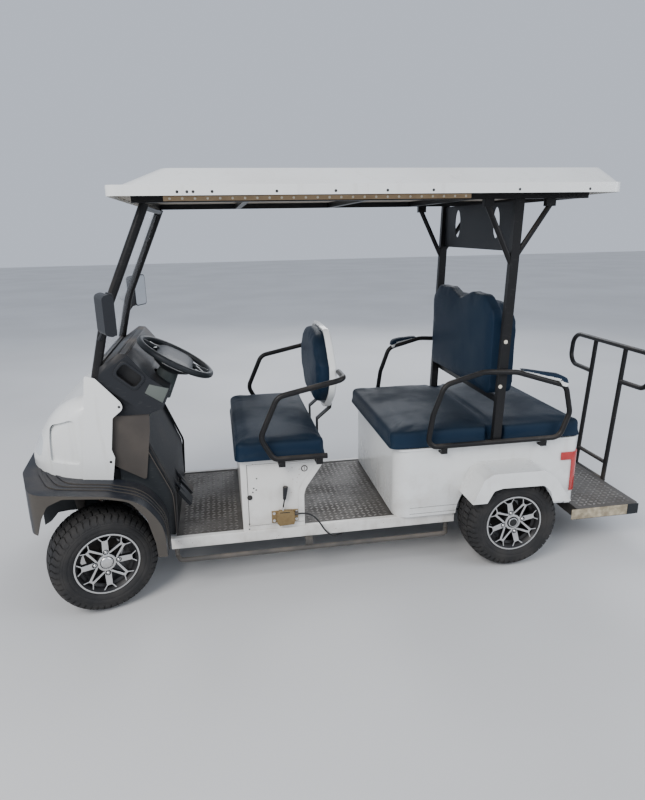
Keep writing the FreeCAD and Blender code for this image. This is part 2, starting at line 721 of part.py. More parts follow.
ARCH_OPENING = [  # x, z, radius of the opening over the front wheel
    (690, 200, 0), (700, 330, 60), (728, 450, 90), (790, 530, 80), (880, 551, 60), (1050, 566, 40),
    (1112, 540, 40), (1142, 480, 60), (1168, 400, 0), (1168, 200, 0)]
RIDGE_INSETS = (62, 92, 122)
RIDGE_WIDTH = 12
RIDGE_HEIGHT = 4


def moulding_shape():
    """Shell of the bumper and fenders, open below, with raised ridges along its top."""
    wall = S.sheet_wall
    side = side_prism(moulding_side(0), -700, 700)
    outer = plan_prism(moulding_plan(0), 240, 640).common(side)
    inner_side = [row for row in moulding_side(wall) if row[1] > 262 and row[1] != 408]
    inner = plan_prism(moulding_plan(wall), 200, 640).common(
        side_prism(inner_side + [(656 + wall, 230, 0), (1330, 230, 0)], -700, 700))
    proud = side_prism(moulding_side(-RIDGE_HEIGHT), -700, 700).cut(side)
    ridges = []
    for inset in RIDGE_INSETS:
        ring = plan_prism(moulding_plan(inset), 240, 640).cut(
            plan_prism(moulding_plan(inset + RIDGE_WIDTH), 200, 680))
        ridges.append(ring.common(proud))
    shell = outer.cut(inner).fuse(ridges)
    arch = side_prism(ARCH_OPENING, -700, 700)
    between = box(560, 1005, -390, 390, 100, 700)
    under_nose = nose_loft(-S.clearance)
    return shell.cut([arch, between, under_nose]).removeSplitter()


NOSE_SECTIONS = [  # x, half width, top, corner radius
    (948, S.nose_half_width, 934, 60), (1040, 394, 908, 90), (1120, 366, 850, 110), (1185, 312, 765, 110),
    (1228, 246, 690, 60), (1248, 190, 650, 30)]


def nose_loft(inset):
    """Nose form with its wall left out by the inset, standing on the fenders' top."""
    wires = []
    for x, half, top, radius in NOSE_SECTIONS:
        base = mould_top(x) + S.clearance - (10 if inset > 0 else 0)
        wide, high = half - inset, top - inset
        corner = radius - inset
        rows = [(V(x - inset, wide, base), 0), (V(x - inset, wide, high), corner),
                (V(x - inset, -wide, high), corner), (V(x - inset, -wide, base), 0)]
        wires.append(Part.Wire(rounded(rows)))
    return Part.makeLoft(wires, True, False)


NOSE_OUTER = nose_loft(0)
NOSE_RECESS = [  # x, z, radius of the sunk panel on each flank of the nose
    (1006, 640, 12), (1006, 848, 20), (1124, 812, 40), (1132, 652, 12)]
RECESS_DEPTH = 10
LAMP_OUTLINE = [  # y, z, radius, and which way its corner moves out in y and z
    (205, 668, 34, -1, -1), (318, 660, 30, 1, -1), (330, 742, 30, 1, 1), (222, 762, 40, -1, 1)]


def lamp_prism(grow):
    rows = [(y + grow * out, z + grow * up, radius) for y, z, radius, out, up in LAMP_OUTLINE]
    return front_prism(rows, 1060, 1320)


def recess_room(grow):
    """Room of the sunk panel, grown all round for the inside of its wall."""
    panel = outline([(V(x, 200, z), radius) for x, z, radius in NOSE_RECESS])
    if grow:
        panel = panel.makeOffset2D(grow)
    skin = NOSE_OUTER.cut(nose_loft(RECESS_DEPTH + grow))
    return panel.extrude(V(0, 220, 0)).common(skin)


def nose_shape():
    """Thin nose moulding with a sunk panel on each flank and holes for the headlamps."""
    outside, inside = recess_room(0), recess_room(S.nose_wall)
    skin = NOSE_OUTER.cut([outside, mirrored(outside)])
    room = nose_loft(S.nose_wall).cut([inside, mirrored(inside)])
    shell = skin.cut(room).common(box(900, 1300, -S.nose_half_width, S.nose_half_width, 500, 1000))
    return shell.cut([lamp_prism(0.5), mirrored(lamp_prism(0.5))])


shape_part("front_moulding", moulding_shape())
shape_part("nose_cowl", nose_shape())
shape_part("headlamps", pair(NOSE_OUTER.common(lamp_prism(0)).cut(nose_loft(30))))

COWL_SIDE = [  # x, z, radius
    (1000, mould_top(1000) + S.clearance, 0), (944, 1033, 8), (902, 1018, 10), (812, 912, 8),
    (800, 882, 26), (850, 842, 20), (868, 700, 10), (858, 664, 8),
    (876, mould_top(876) + S.clearance, 0)]
cowl_y = S.nose_half_width + S.clearance
side_panel = side_prism(COWL_SIDE, cowl_y, cowl_y + S.sheet_wall)
shape_part("cowl_sides", pair(side_panel))

PILLAR_ROUTE = [  # x, z, bend radius
    (925, 640, 0), (905, 1010, 200), (838, 1276, 400), (640, 1712, 0)]


def screen_frame_shape(grow=0):
    """Pillars from the cowl's foot to the roof, their cross bars and two legs on the rails."""
    pieces = []
    foot = PILLAR_ROUTE[0]
    head = PILLAR_ROUTE[-1]
    for side in (1, -1):
        route = [(V(x, side * S.pillar_y, z), bend) for x, z, bend in PILLAR_ROUTE]
        pieces.append(tube(route, S.pillar_radius + grow))
        pieces.append(box(foot[0] + 32, foot[0] + 68, side * S.rail_y - 18, side * S.rail_y + 18,
                          FRONT_KICK + S.clearance, foot[1] + 18))
        pieces.append(rod(V(foot[0], side * S.rail_y, foot[1]), V(foot[0] + 50, side * S.rail_y, foot[1]),
                          17 + grow))
    for x, z, radius in ((foot[0], foot[1], 18), (head[0] + 4, head[1] - 12, 14), (893, 1062, 12)):
        pieces.append(rod(V(x, -S.pillar_y, z), V(x, S.pillar_y, z), radius + grow))
    return pieces[0].fuse(pieces[1:]).removeSplitter()


rake = math.radians(S.column_rake)
COLUMN = V(math.sin(rake), 0, -math.cos(rake))
HUB = V(S.wheel_x, S.wheel_y, S.wheel_z)
HUB_TURN = FreeCAD.Rotation(V(0, 0, 1), V(-COLUMN.x, 0, -COLUMN.z))
SHROUD_TOP = 44
SHROUD_FOOT = 60
SHAFT_RADIUS = 17
STUB_RADIUS = 12

DASH_PROFILE = [  # x, z, radius
    (944, 900, 0), (938, 985, 20), (884, 1060, 20), (802, 1116, 16), (768, 1112, 14),
    (690, 1010, 30), (604, 940, 12), (640, 866, 12), (700, 846, 0), (880, 846, 0)]


def dash_shape():
    half = S.dash_half_width
    wall = S.sheet_wall
    outer = side_prism(DASH_PROFILE, -half, half)
    profile = outline([(V(x, 0, z), radius) for x, z, radius in DASH_PROFILE])
    inner = profile.makeOffset2D(-wall).extrude(V(0, 2 * (half - wall), 0))
    inner.translate(V(0, wall - half, 0))
    below = box(700, 880, wall - half, half - wall, 800, 900)
    column_room = rod(HUB + COLUMN * 20, HUB + COLUMN * 330, SHROUD_FOOT + S.clearance)
    return outer.cut(inner).cut([below, column_room, screen_frame_shape(S.clearance)])


shape_part("dashboard", dash_shape())


TOE_TOP = 846 - S.clearance
TOE_LINE = [  # x, z, radius down the rear face of the toe board
    (738, TOE_TOP, 0), (738, 720, 60), (628, 460, 180), (628, S.floor_top + S.clearance, 0)]


def toe_room(gap):
    """Everything ahead of the toe board's rear face, less a gap."""
    rows = [(x - gap, z, radius) for x, z, radius in TOE_LINE]
    return side_prism(rows + [(900, TOE_LINE[-1][1], 0), (900, TOE_TOP, 0)], -500, 500)


def leg_shield_shape():
    """Curved toe board below the dashboard, with a cheek at each side."""
    half = S.floor_half_width
    wall = S.sheet_wall
    top = TOE_TOP
    board = toe_room(0).cut(toe_room(-wall)).common(box(500, 900, -half, half, 200, 900))
    cheek = side_prism([(870, top, 0), (700, top, 0), (704, 770, 10), (738, 540, 10), (870, 620, 0)],
                       half - wall, half)
    shaft_room = rod(HUB + COLUMN * 220, HUB + COLUMN * 600, SHAFT_RADIUS + 3)
    return board.fuse([cheek, mirrored(cheek)]).cut(shaft_room).removeSplitter()


shape_part("leg_shield", leg_shield_shape())


def column_shape():
    """Steering column with its shroud under the wheel, down to the steering box."""
    box_z = FRONT_KICK + S.clearance
    reach = (HUB.z - box_z - 40) / math.cos(rake)
    end = HUB + COLUMN * reach
    shaft = rod(HUB + COLUMN * 70, end, SHAFT_RADIUS)
    shroud = Part.makeCone(SHROUD_TOP, SHROUD_FOOT, 120, HUB + COLUMN * 62, COLUMN)
    bore = rod(HUB + COLUMN * 40, HUB + COLUMN * 130, STUB_RADIUS + S.running)
    gearbox = box(end.x - 38, end.x + 38, end.y - 34, end.y + 34, box_z, box_z + 80)
    return shaft.fuse([shroud, gearbox]).cut(bore).removeSplitter()


shape_part("steering_column", column_shape())


def steering_wheel_shape():
    """Rim, hub and three spokes, with the stub shaft that sits in the column."""
    rim = Part.makeTorus(S.wheel_radius, S.wheel_grip, V(0, 0, 0), V(0, 0, 1))
    hub = Part.makeCone(46, 58, 36, V(0, 0, -44))
    pad = Part.makeCylinder(58, 16, V(0, 0, -8))
    stub = Part.makeCylinder(STUB_RADIUS, 90, V(0, 0, -125))
    spokes = []
    for angle in (90, 210, 330):
        spoke = outline([(V(30, -24, -14), 0), (V(S.wheel_radius, -13, -6), 0),
                         (V(S.wheel_radius, 13, -6), 0), (V(30, 24, -14), 0)])
        spoke = spoke.extrude(V(0, 0, 10))
        spokes.append(spoke.rotated(V(0, 0, 0), V(0, 0, 1), angle))
    return rim.fuse([hub, pad, stub] + spokes).removeSplitter()


shape_part("steering_wheel", steering_wheel_shape(),
           HOME.multiply(FreeCAD.Placement(HUB, HUB_TURN)))


def pedal_shape(y, width):
    """Pedal pad on an arm hung from the toe board."""
    pad = box(-8, 8, y - width / 2, y + width / 2, -45, 45)
    pad.rotate(V(0, 0, 0), V(0, 1, 0), 35)
    pad.translate(V(590, 0, 385))
    arm = rod(V(592, y, 390), V(668, y, 520), 7)
    return pad.fuse(arm).cut(toe_room(S.clearance)).removeSplitter()


shape_part("pedals", Part.makeCompound([pedal_shape(110, 60), pedal_shape(225, 90)]))


# Windscreen pillars, glass and mirrors.

shape_part("windscreen_frame", screen_frame_shape())


def glass_shape():
    half = S.pillar_y - S.pillar_radius - S.clearance
    thick = S.glass_thick
    rows = [(892, 1082, 0), (838, 1276, 400), (660, 1682, 0),
            (660 - thick, 1682, 0), (838 - thick, 1274, 400), (892 - thick, 1082, 0)]
    return side_prism(rows, -half, half)


shape_part("windscreen_glass", glass_shape())


def mirror_shape():
    """Mirror head on a short arm from the screen pillar."""
    head = side_prism([(0, 0, 18), (44, 10, 18), (44, 160, 18), (0, 172, 18)], -58, 58)
    head.translate(V(-22, 0, -86))
    head.rotate(V(0, 0, 0), V(0, 0, 1), 24)
    head.translate(V(812, 512, 1296))
    foot_y = S.pillar_y + S.pillar_radius + S.clearance
    arm = tube([(V(862, foot_y, 1184), 0), (V(862, foot_y + 32, 1184), 14), (V(822, 496, 1240), 0)], 7)
    return head.fuse(arm).removeSplitter()


shape_part("mirrors", pair(mirror_shape()))


# Roof: hollow moulding with an upright fascia and a sloping rim, its liner and its frame.

def roof_solid(inset):
    """Roof form with its wall left out by the inset."""
    low = S.roof_bottom - (5 if inset else 0)
    crease = S.roof_bottom + S.roof_fascia - inset
    top = S.roof_bottom + S.roof_height - inset
    front, rear = S.roof_front - inset, S.roof_rear + inset
    half = S.roof_half_width - inset

    def level(front_x, rear_x, wide, z, radius):
        rows = [(V(rear_x, -wide, z), radius), (V(front_x, -wide, z), radius),
                (V(front_x, wide, z), radius), (V(rear_x, wide, z), radius)]
        return Part.Wire(rounded(rows))

    fascia = Part.makeLoft([level(front, rear, half, low, 40), level(front, rear, half, crease, 40)],
                           True, True)
    slope = Part.makeLoft([level(front - 52, rear + 8, half - 6, crease - 0.01, 40),
                           level(front - 190, rear + 26, half - 120, top, 40)], True, True)
    return fascia.fuse(slope)


shape_part("roof_shell", roof_solid(0).cut(roof_solid(S.sheet_wall)).removeSplitter())


def roof_frame_shape():
    top = S.roof_bottom + S.rail_seat
    half = 13
    pieces = []
    for side in (1, -1):
        pieces.append(box(S.roof_rear + 45, S.roof_front - 70, side * S.roof_rail_y - half,
                          side * S.roof_rail_y + half, top - 26, top))
    for x in (S.roof_front - 100, 240, -260, -720, S.roof_rear + 80):
        pieces.append(box(x - half, x + half, -S.roof_rail_y, S.roof_rail_y, top - 26, top))
    return pieces[0].fuse(pieces[1:]).removeSplitter()


ROOF_FRAME = roof_frame_shape()
shape_part("roof_frame", ROOF_FRAME.cut(screen_frame_shape()))

def slab_body(name, rear, front, half, low, thick):
    """PartDesign slab between two heights, symmetric about the centre line."""
    corners = [(rear, f"-({half})"), (front, f"-({half})"), (front, half), (rear, half)]
    return padded_body(name, "XY_Plane", corners, thick, f"{low} + {thick} / 2")


def roof_liner_body():
    edge = "(Sizes.sheet_wall + Sizes.clearance)"
    body = slab_body("Liner", f"Sizes.roof_rear + {edge}", f"Sizes.roof_front - {edge}",
                     f"Sizes.roof_half_width - {edge}",
                     "Sizes.roof_bottom + Sizes.rail_seat + Sizes.clearance", "Sizes.liner_thick")
    round_edges(body, "LinerCorners", "Sizes.liner_corner", upright)
    return body


keep(roof_liner_body(), "roof_liner")


# Front seat: box, cushion, backrest in its shell, and the tube armrests that carry it.

def seat_box_outline(inset):
    low = SILL_TOP + S.clearance
    top = S.box_top - inset
    return [(S.seat_box_front - inset, low - (5 if inset else 0), 0), (S.seat_box_front - inset, top, 12),
            (S.seat_box_rear + inset, top, 0), (S.seat_box_rear + inset, 568, 60),
            (S.seat_box_foot + inset, 430, 110), (S.seat_box_foot + inset, low - (5 if inset else 0), 0)]


HATCH_INSET = 27
HATCH_GAP = 4
HATCH_DEPTH = 1.5


def seat_box_shape():
    """Hollow box with the joint line of a hatch in each side."""
    half = S.seat_box_half
    wall = S.sheet_wall
    outer = side_prism(seat_box_outline(0), -half, half)
    side = outline([(V(x, half - HATCH_DEPTH, z), radius) for x, z, radius in seat_box_outline(0)])
    hatch, lid = side.makeOffset2D(-HATCH_INSET), side.makeOffset2D(-HATCH_INSET - HATCH_GAP)
    groove = hatch.cut(lid).extrude(V(0, HATCH_DEPTH + 1, 0))
    return outer.cut([side_prism(seat_box_outline(wall), wall - half, half - wall), groove,
                      mirrored(groove)])


shape_part("front_seat_box", seat_box_shape())


def cushion_body(name, rear, front, half, corner):
    """Plain cushion on a seat box, its corners and top edges rounded."""
    body = slab_body(name, rear, front, half, "Sizes.box_top + Sizes.clearance", "Sizes.cushion_thick")
    round_edges(body, name + "Corners", corner, upright)
    top = S.box_top + S.clearance + S.cushion_thick
    round_edges(body, name + "Edges", "Sizes.cushion_edge", level_at(top))
    return body


keep(cushion_body("FrontCushion", "Sizes.seat_rear", "Sizes.seat_front", "Sizes.seat_half_width",
                  "Sizes.cushion_corner"), "front_cushion")


def back_slab(grow, x_from, x_to):
    """Egg-shaped slab, widest at its middle, between two planes of constant X."""
    foot, wide = S.back_foot, S.back_half_width
    low, high = S.back_bottom, S.back_top
    half_rows = [(foot, low, 110), (wide, low + 115, 150), (wide - 5, high - 110, 150),
                 (wide - 105, high, 150)]
    rows = half_rows + [(-y, z, radius) for y, z, radius in reversed(half_rows)]
    face = outline([(V(x_from, y, z), radius) for y, z, radius in rows])
    if grow:
        face = face.makeOffset2D(grow)
    return face.extrude(V(x_to - x_from, 0, 0))


def lean(shape):
    return shape.rotated(V(S.back_x, 0, S.back_bottom), V(0, 1, 0), -S.back_lean)


pad_front = S.back_x
pad_rear = S.back_x - S.back_thick
back_pad = back_slab(0, pad_rear, pad_front)
rim_edges = [e for e in back_pad.Edges if abs(e.BoundBox.XMin - pad_front) < 1e-3
             and abs(e.BoundBox.XMax - pad_front) < 1e-3]
shape_part("front_backrest", lean(back_pad.makeFillet(24, rim_edges)))

shell_outer = back_slab(14, pad_rear - 18, pad_rear + 16)
shell_edges = [e for e in shell_outer.Edges if abs(e.BoundBox.XMin - pad_rear + 18) < 1e-3
               and abs(e.BoundBox.XMax - pad_rear + 18) < 1e-3]
shell_outer = shell_outer.makeFillet(12, shell_edges)
pad_room = back_slab(S.clearance, pad_rear - S.clearance, pad_rear + 40)
BACK_SHELL = lean(shell_outer.cut(pad_room))
shape_part("front_back_shell", BACK_SHELL)


arm_y = S.post_y + S.post_width / 2 + S.arm_tube + S.clearance
ARM_LOW = S.box_top + 18


def arm_tabs(places, wall_y):
    """Angle brackets from an armrest's lower run in to the side of its seat box."""
    tabs = []
    for x in places:
        tabs.append(box(x - 15, x + 15, wall_y, arm_y + 5, ARM_LOW - 38, ARM_LOW - 32))
        tabs.append(box(x - 15, x + 15, arm_y - 5, arm_y + 5, ARM_LOW - 38, ARM_LOW))
    return tabs


def strip(points, thick, y_from, y_to):
    """Flat bar of one thickness bent along points (x, z), its face on their left."""
    path = [V(x, 0, z) for x, z in points]
    other = []
    for i, point in enumerate(path):
        normals = []
        if i:
            run = (point - path[i - 1]).normalize()
            normals.append(V(-run.z, 0, run.x))
        if i < len(path) - 1:
            run = (path[i + 1] - point).normalize()
            normals.append(V(-run.z, 0, run.x))
        middle = sum(normals, V(0, 0, 0)).normalize()
        other.append(point + middle * (thick / middle.dot(normals[0])))
    rows = [(p.x, p.z, 0) for p in path] + [(p.x, p.z, 0) for p in reversed(other)]
    return side_prism(rows, y_from, y_to)


def front_arm_shape():
    """Armrest loop from the backrest's shell round the seat's side and under the cushion."""
    route = [(V(-150, 200, 968), 0), (V(-150, arm_y, 968), 45), (V(150, arm_y, 905), 60),
             (V(232, arm_y, 722), 60), (V(176, arm_y, ARM_LOW), 40), (V(-66, arm_y, ARM_LOW), 0)]
    loop = tube(route, S.arm_tube)
    shell_room = lean(back_slab(14 + S.clearance, pad_rear - 40, pad_front + 40))
    return loop.cut(shell_room).fuse(arm_tabs((140, -30), S.seat_box_half + S.clearance))


def back_bar_shape(y):
    """Flat bar from the seat box up behind the cushion to the backrest's shell."""
    behind = S.seat_rear - S.clearance
    box_rear = S.seat_box_rear - S.clearance
    turn = math.radians(S.back_lean)
    shell_back = S.back_thick + 18 + S.clearance

    def on_shell(height):
        return (S.back_x - shell_back * math.cos(turn) - height * math.sin(turn),
                S.back_bottom - shell_back * math.sin(turn) + height * math.cos(turn))

    bar = strip([(behind, 560), (behind, 690), on_shell(-6), on_shell(170)], 6, y - 20, y + 20)
    spacer = box(behind, box_rear, y - 20, y + 20, 562, 598)
    return bar.fuse(spacer).removeSplitter()


arms = front_arm_shape()
shape_part("front_armrests", Part.makeCompound([arms, mirrored(arms), back_bar_shape(120),
                                                back_bar_shape(-120)]))


# Rear body: hollow box with wheel housings, its flares, cushions and backrests.

def wheel_room(radius, y_from, y_to):
    return rod(V(S.rear_axle_x, y_from, axle_height), V(S.rear_axle_x, y_to, axle_height), radius)


def rear_body_shape():
    wall = S.sheet_wall
    half = S.body_half_width
    low = SILL_TOP + S.clearance
    outer = plan_prism(rounded_box_plan(S.body_rear, S.body_front, half, S.body_corner, 40),
                       low, S.box_top)
    inner = plan_prism(rounded_box_plan(S.body_rear + wall, S.body_front - wall, half - wall,
                                        S.body_corner - wall, 36), low - 5, S.box_top - wall)
    shell = outer.cut(inner)
    above = box(-1300, -600, -half - 50, half + 50, low, S.box_top)
    houses = []
    rooms = []
    for side in (1, -1):
        skin = wheel_room(S.house_radius + wall, side * (S.house_y - wall), side * (half - 1))
        houses.append(skin.common(above))
        rooms.append(wheel_room(S.house_radius, side * S.house_y, side * (half + 60)))
    rooms.append(box(S.rear_axle_x - 60, S.rear_axle_x + 60, 5 - half, half - 5, low - 5, axle_height + 70))
    return shell.fuse(houses).cut(rooms).removeSplitter()


shape_part("rear_body", rear_body_shape())

FLARE_OUTLINE = [  # x, z, radius
    (-716, 372, 0), (-768, 488, 24), (-812, 513, 40), (-1062, 511, 50), (-1124, 466, 40),
    (-1208, 345, 0)]
FLARE_OPENING = [
    (-600, 300, 0), (-600, 372, 0), (-786, 372, 0), (-818, 430, 20), (-860, 440, 20),
    (-1066, 436, 30), (-1100, 402, 20), (-1118, 345, 0), (-1300, 345, 0), (-1300, 300, 0)]


def flare_shape():
    wall = S.sheet_wall
    inner_face = S.body_half_width + S.clearance
    outer = side_prism(FLARE_OUTLINE, inner_face, S.arch_half_width)
    profile = outline([(V(x, inner_face - 5, z), radius) for x, z, radius in FLARE_OUTLINE])
    inner = profile.makeOffset2D(-wall)
    inner = inner.extrude(V(0, S.arch_half_width - wall - inner_face + 5, 0))
    floor = side_prism([(-700, 300, 0), (-722 - wall, 372 + wall + 2, 0), (-1202 + wall, 345 + wall + 2, 0),
                        (-1220, 300, 0)], inner_face - 5, S.arch_half_width - wall)
    opening = side_prism(FLARE_OPENING, S.arch_half_width - 2 * wall, S.arch_half_width + 5)
    tyre_room = wheel_room(S.house_radius + 8, inner_face - 5, S.arch_half_width - wall)
    return outer.cut([inner, floor, opening, tyre_room])


shape_part("wheel_flares", pair(flare_shape()))

def rear_cushion(name, rear, front):
    """Cushion with notches that let the roof posts through."""
    half = "Sizes.post_y - Sizes.post_width / 2 + 21"
    body = cushion_body(name, rear, front, half, "Sizes.cushion_corner - 5")
    rooms = [primitive("Box", f"{name}Room{number}", ("Sizes.post_foot_x - 40", inner,
                                                      "Sizes.box_top - 10"),
                       Length="80", Width="80", Height="130")
             for number, inner in enumerate(("Sizes.post_y - 32", "-Sizes.post_y - 48"))]
    return cut_from(name + "Notched", body, *rooms)


keep(group("Compound", "rear_cushions",
           rear_cushion("ForeCushion", "Sizes.rear_seat_split + 2", "Sizes.rear_seat_front"),
           rear_cushion("RearCushion", "Sizes.rear_seat_rear", "Sizes.rear_seat_split - 2")),
     "rear_cushions")


def rear_back_shape(x_front, top_drop):
    """Backrest with two humps over a notch, and its lower corners cut away."""
    wide, high = S.rear_back_half, 1306 - top_drop
    half_rows = [(S.rear_back_foot, 712, 30), (wide, 850, 60), (wide, high - 81, 70),
                 (wide - 105, high - 6, 90), (wide - 265, high, 80)]
    rows = half_rows + [(0, high - 44, 30)] + [(-y, z, radius) for y, z, radius in reversed(half_rows)]
    return front_prism(rows, x_front - S.rear_back_thick, x_front)


back_one = rear_back_shape(S.rear_back_front, 0)
back_two = rear_back_shape(S.rear_back_front - S.rear_back_thick - S.rear_back_bar
                           - 2 * S.clearance, 40)
shape_part("rear_backrests", Part.makeCompound([back_one, back_two]))


def rear_arm_tube(grow=0):
    """Closed loop round both rear seats."""
    route = [(-538, ARM_LOW, 40), (-560, 770, 70), (-612, 912, 60), (-800, 962, 120), (-960, 952, 120),
             (-1212, 872, 50), (-1244, 740, 60), (-1200, ARM_LOW, 50)]
    return tube([(V(x, arm_y, z), bend) for x, z, bend in route], S.arm_tube + grow, closed=True)


rear_loop = rear_arm_tube().fuse(arm_tabs((-620, -1120), S.body_half_width + S.clearance))
shape_part("rear_arm_loops", pair(rear_loop.removeSplitter()))

PAD_HALF_WIDTH = 22
PAD_SIDE = [  # share of the length from the thin end, height over the tube, radius
    (0, 0, 0), (0, 7, 4), (0.45, 20, 120), (0.8, 31, 70), (0.97, 25, 18), (1.05, 2, 12),
    (1.04, -18, 8), (0.93, -18, 8), (0.86, 0, 12)]
PAD_PLACES = [  # thin end x, z, thick end x, z, side
    (-970, 949, -1200, 876, 1), (-970, 949, -1200, 876, -1), (-780, 957, -630, 917, -1)]


def arm_pad(thin_x, thin_z, thick_x, thick_z, side):
    """Padded cap, thin at the post and swelling to a drooping end, seated on the loop's tube."""
    thin = V(thin_x, 0, thin_z)
    along = V(thick_x - thin_x, 0, thick_z - thin_z)
    length = along.Length
    along.normalize()
    over = V(0, 0, 1) - along * along.z
    over.normalize()
    rise = S.arm_tube + S.clearance
    y = side * arm_y - PAD_HALF_WIDTH
    rows = []
    for share, height, radius in PAD_SIDE:
        place = thin + along * (share * length) + over * (height + rise)
        rows.append((V(place.x, y, place.z), radius))
    cap = outline(rows).extrude(V(0, 2 * PAD_HALF_WIDTH, 0))
    tube_room = rear_arm_tube(S.clearance)
    return cap.cut(tube_room if side > 0 else mirrored(tube_room))


shape_part("arm_pads", Part.makeCompound([arm_pad(*place) for place in PAD_PLACES]))


def rear_posts_shape():
    """Two leaning posts, each with a brace fore and aft up to the roof rails."""
    top = S.roof_bottom + S.rail_seat - 26 - S.clearance
    low = S.box_top + S.clearance
    half = S.post_depth / 2
    pieces = []
    for side in (1, -1):
        rows = [(S.post_foot_x + half, low, 0), (S.post_foot_x - half, low, 0),
                (S.post_top_x - half, top, 0), (S.post_top_x + half, top, 0)]
        y = side * S.post_y
        post = side_prism(rows, y - S.post_width / 2, y + S.post_width / 2)
        braces = [tube([(V(-905, y, 1440), 0), (V(x, y, 1690), 0)], 12) for x in (-780, -1072)]
        shoes = [box(x - 22, x + 22, y - 13, y + 13, 1680, top) for x in (-784, -1068)]
        pieces.append(post.fuse(braces + shoes))
    rear = S.rear_back_front - S.rear_back_thick - S.clearance
    inside = S.post_y - S.post_width / 2 + 1
    for z in (785, 1150):
        pieces.append(box(rear - S.rear_back_bar, rear, -inside, inside, z, z + 30))
    return pieces[0].fuse(pieces[1:]).removeSplitter()


shape_part("rear_posts", rear_posts_shape())

LEAF_OPENING = [  # y, z, radius
    (-262, 1690, 6), (-220, 1600, 60), (-240, 1545, 6), (-300, 1600, 60)]
PANEL_HALF = S.post_y - S.post_width / 2 - S.clearance
panel = front_prism([(-PANEL_HALF, 1492, 8), (PANEL_HALF, 1492, 8), (PANEL_HALF, 1706, 8),
                     (-PANEL_HALF, 1706, 8)], -930, -912)
leaves = [front_prism([(y + 250 + centre, z, radius) for y, z, radius in LEAF_OPENING], -950, -890)
          for centre in (-250, 190)]
shape_part("upper_rear_panel", panel.cut(leaves))


def tail_lamp_shape():
    """Lens wrapped round the rear corner of the body, of one thickness."""
    def body_plan(grow):
        return rounded_box_plan(S.body_rear - grow, S.body_front + grow, S.body_half_width + grow,
                                S.body_corner + grow, 40 + grow)

    ring = plan_prism(body_plan(7), 318, 524).cut(plan_prism(body_plan(S.clearance), 300, 540))
    return ring.common(box(S.body_rear - 20, S.body_rear + 95, 330, 460, 318, 524))


shape_part("tail_lamps", pair(tail_lamp_shape()))


# Rear step and its grab rail.

def platform_shape():
    wall = 3
    top = S.platform_top
    low = top - S.platform_depth
    half = S.platform_half
    outer = plan_prism(rounded_box_plan(S.platform_rear, S.platform_front, half, 0, 20), low, top)
    inner = plan_prism(rounded_box_plan(S.platform_rear + wall, S.platform_front - wall, half - wall,
                                        0, 18), low - 5, top - wall)
    shell = outer.cut(inner)
    arms = [box(S.platform_front - 60, -1290, side * S.rail_y - 18, side * S.rail_y + 18, low, top - 4)
            for side in (1, -1)]
    links = [box(-1312, -1290, side * S.rail_y - 18, side * S.rail_y + 18, low,
                 REAR_KICK - S.rail_depth - S.clearance) for side in (1, -1)]
    return shell.fuse(arms + links).removeSplitter()


shape_part("rear_platform", platform_shape())


def grab_rail_shape():
    """Two leaning posts with side loops, a cross bar and a foot bar on the step's edge."""
    top = S.hoop_top
    foot_z = S.platform_top - 9
    lean_x = -S.hoop_lean / (top - foot_z)

    def at(y, z):
        return V(hoop_x + lean_x * (z - foot_z), y, z)

    loop_low = 782
    post = S.hoop_post_y
    end = S.hoop_half_width
    pieces = [tube([(at(-post, loop_low), 0), (at(-end, loop_low + 6), 70), (at(-end, top), 70),
                    (at(end, top), 70), (at(end, loop_low + 6), 70), (at(post, loop_low), 0)], S.hoop_tube)]
    slimmer = S.hoop_tube - 0.6
    for side in (1, -1):
        pieces.append(rod(at(side * post, foot_z), at(side * post, top), slimmer))
    pieces.append(rod(at(-post, 316), at(post, 316), S.hoop_tube - 2))
    pieces.append(rod(at(-post - 6, foot_z), at(post + 6, foot_z), S.hoop_tube))
    return pieces[0].fuse(pieces[1:]).removeSplitter()


shape_part("grab_rail", grab_rail_shape())


# Running gear, batteries and the driver's side lever.

battery = primitive("Box", "Battery", ("Sizes.battery_front - Sizes.battery_length",
                                       "-Sizes.battery_width / 2", "Sizes.floor_top + Sizes.clearance"),
                    Length="Sizes.battery_length", Width="Sizes.battery_width",
                    Height="Sizes.battery_height")
keep(group("Compound", "battery_block", battery), "battery_block")


LEAF = 8
LEAF_REACHES = (200, 140, 85)
COIL_TURNS = 6


def coil_shape(low, high):
    """Spring between two points as a ribbed sleeve, one rib for each turn."""
    length = low.distanceToPoint(high)
    pitch = length / COIL_TURNS
    rows = [V(10, 0, 0)]
    for turn in range(COIL_TURNS):
        rows += [V(19, 0, turn * pitch), V(27, 0, (turn + 0.3) * pitch), V(27, 0, (turn + 0.7) * pitch)]
    rows += [V(19, 0, length), V(10, 0, length)]
    sleeve = Part.Face(Part.makePolygon(rows + rows[:1])).revolve(V(0, 0, 0), V(0, 0, 1), 360)
    sleeve.Placement = FreeCAD.Placement(low, FreeCAD.Rotation(V(0, 0, 1), high - low))
    return sleeve


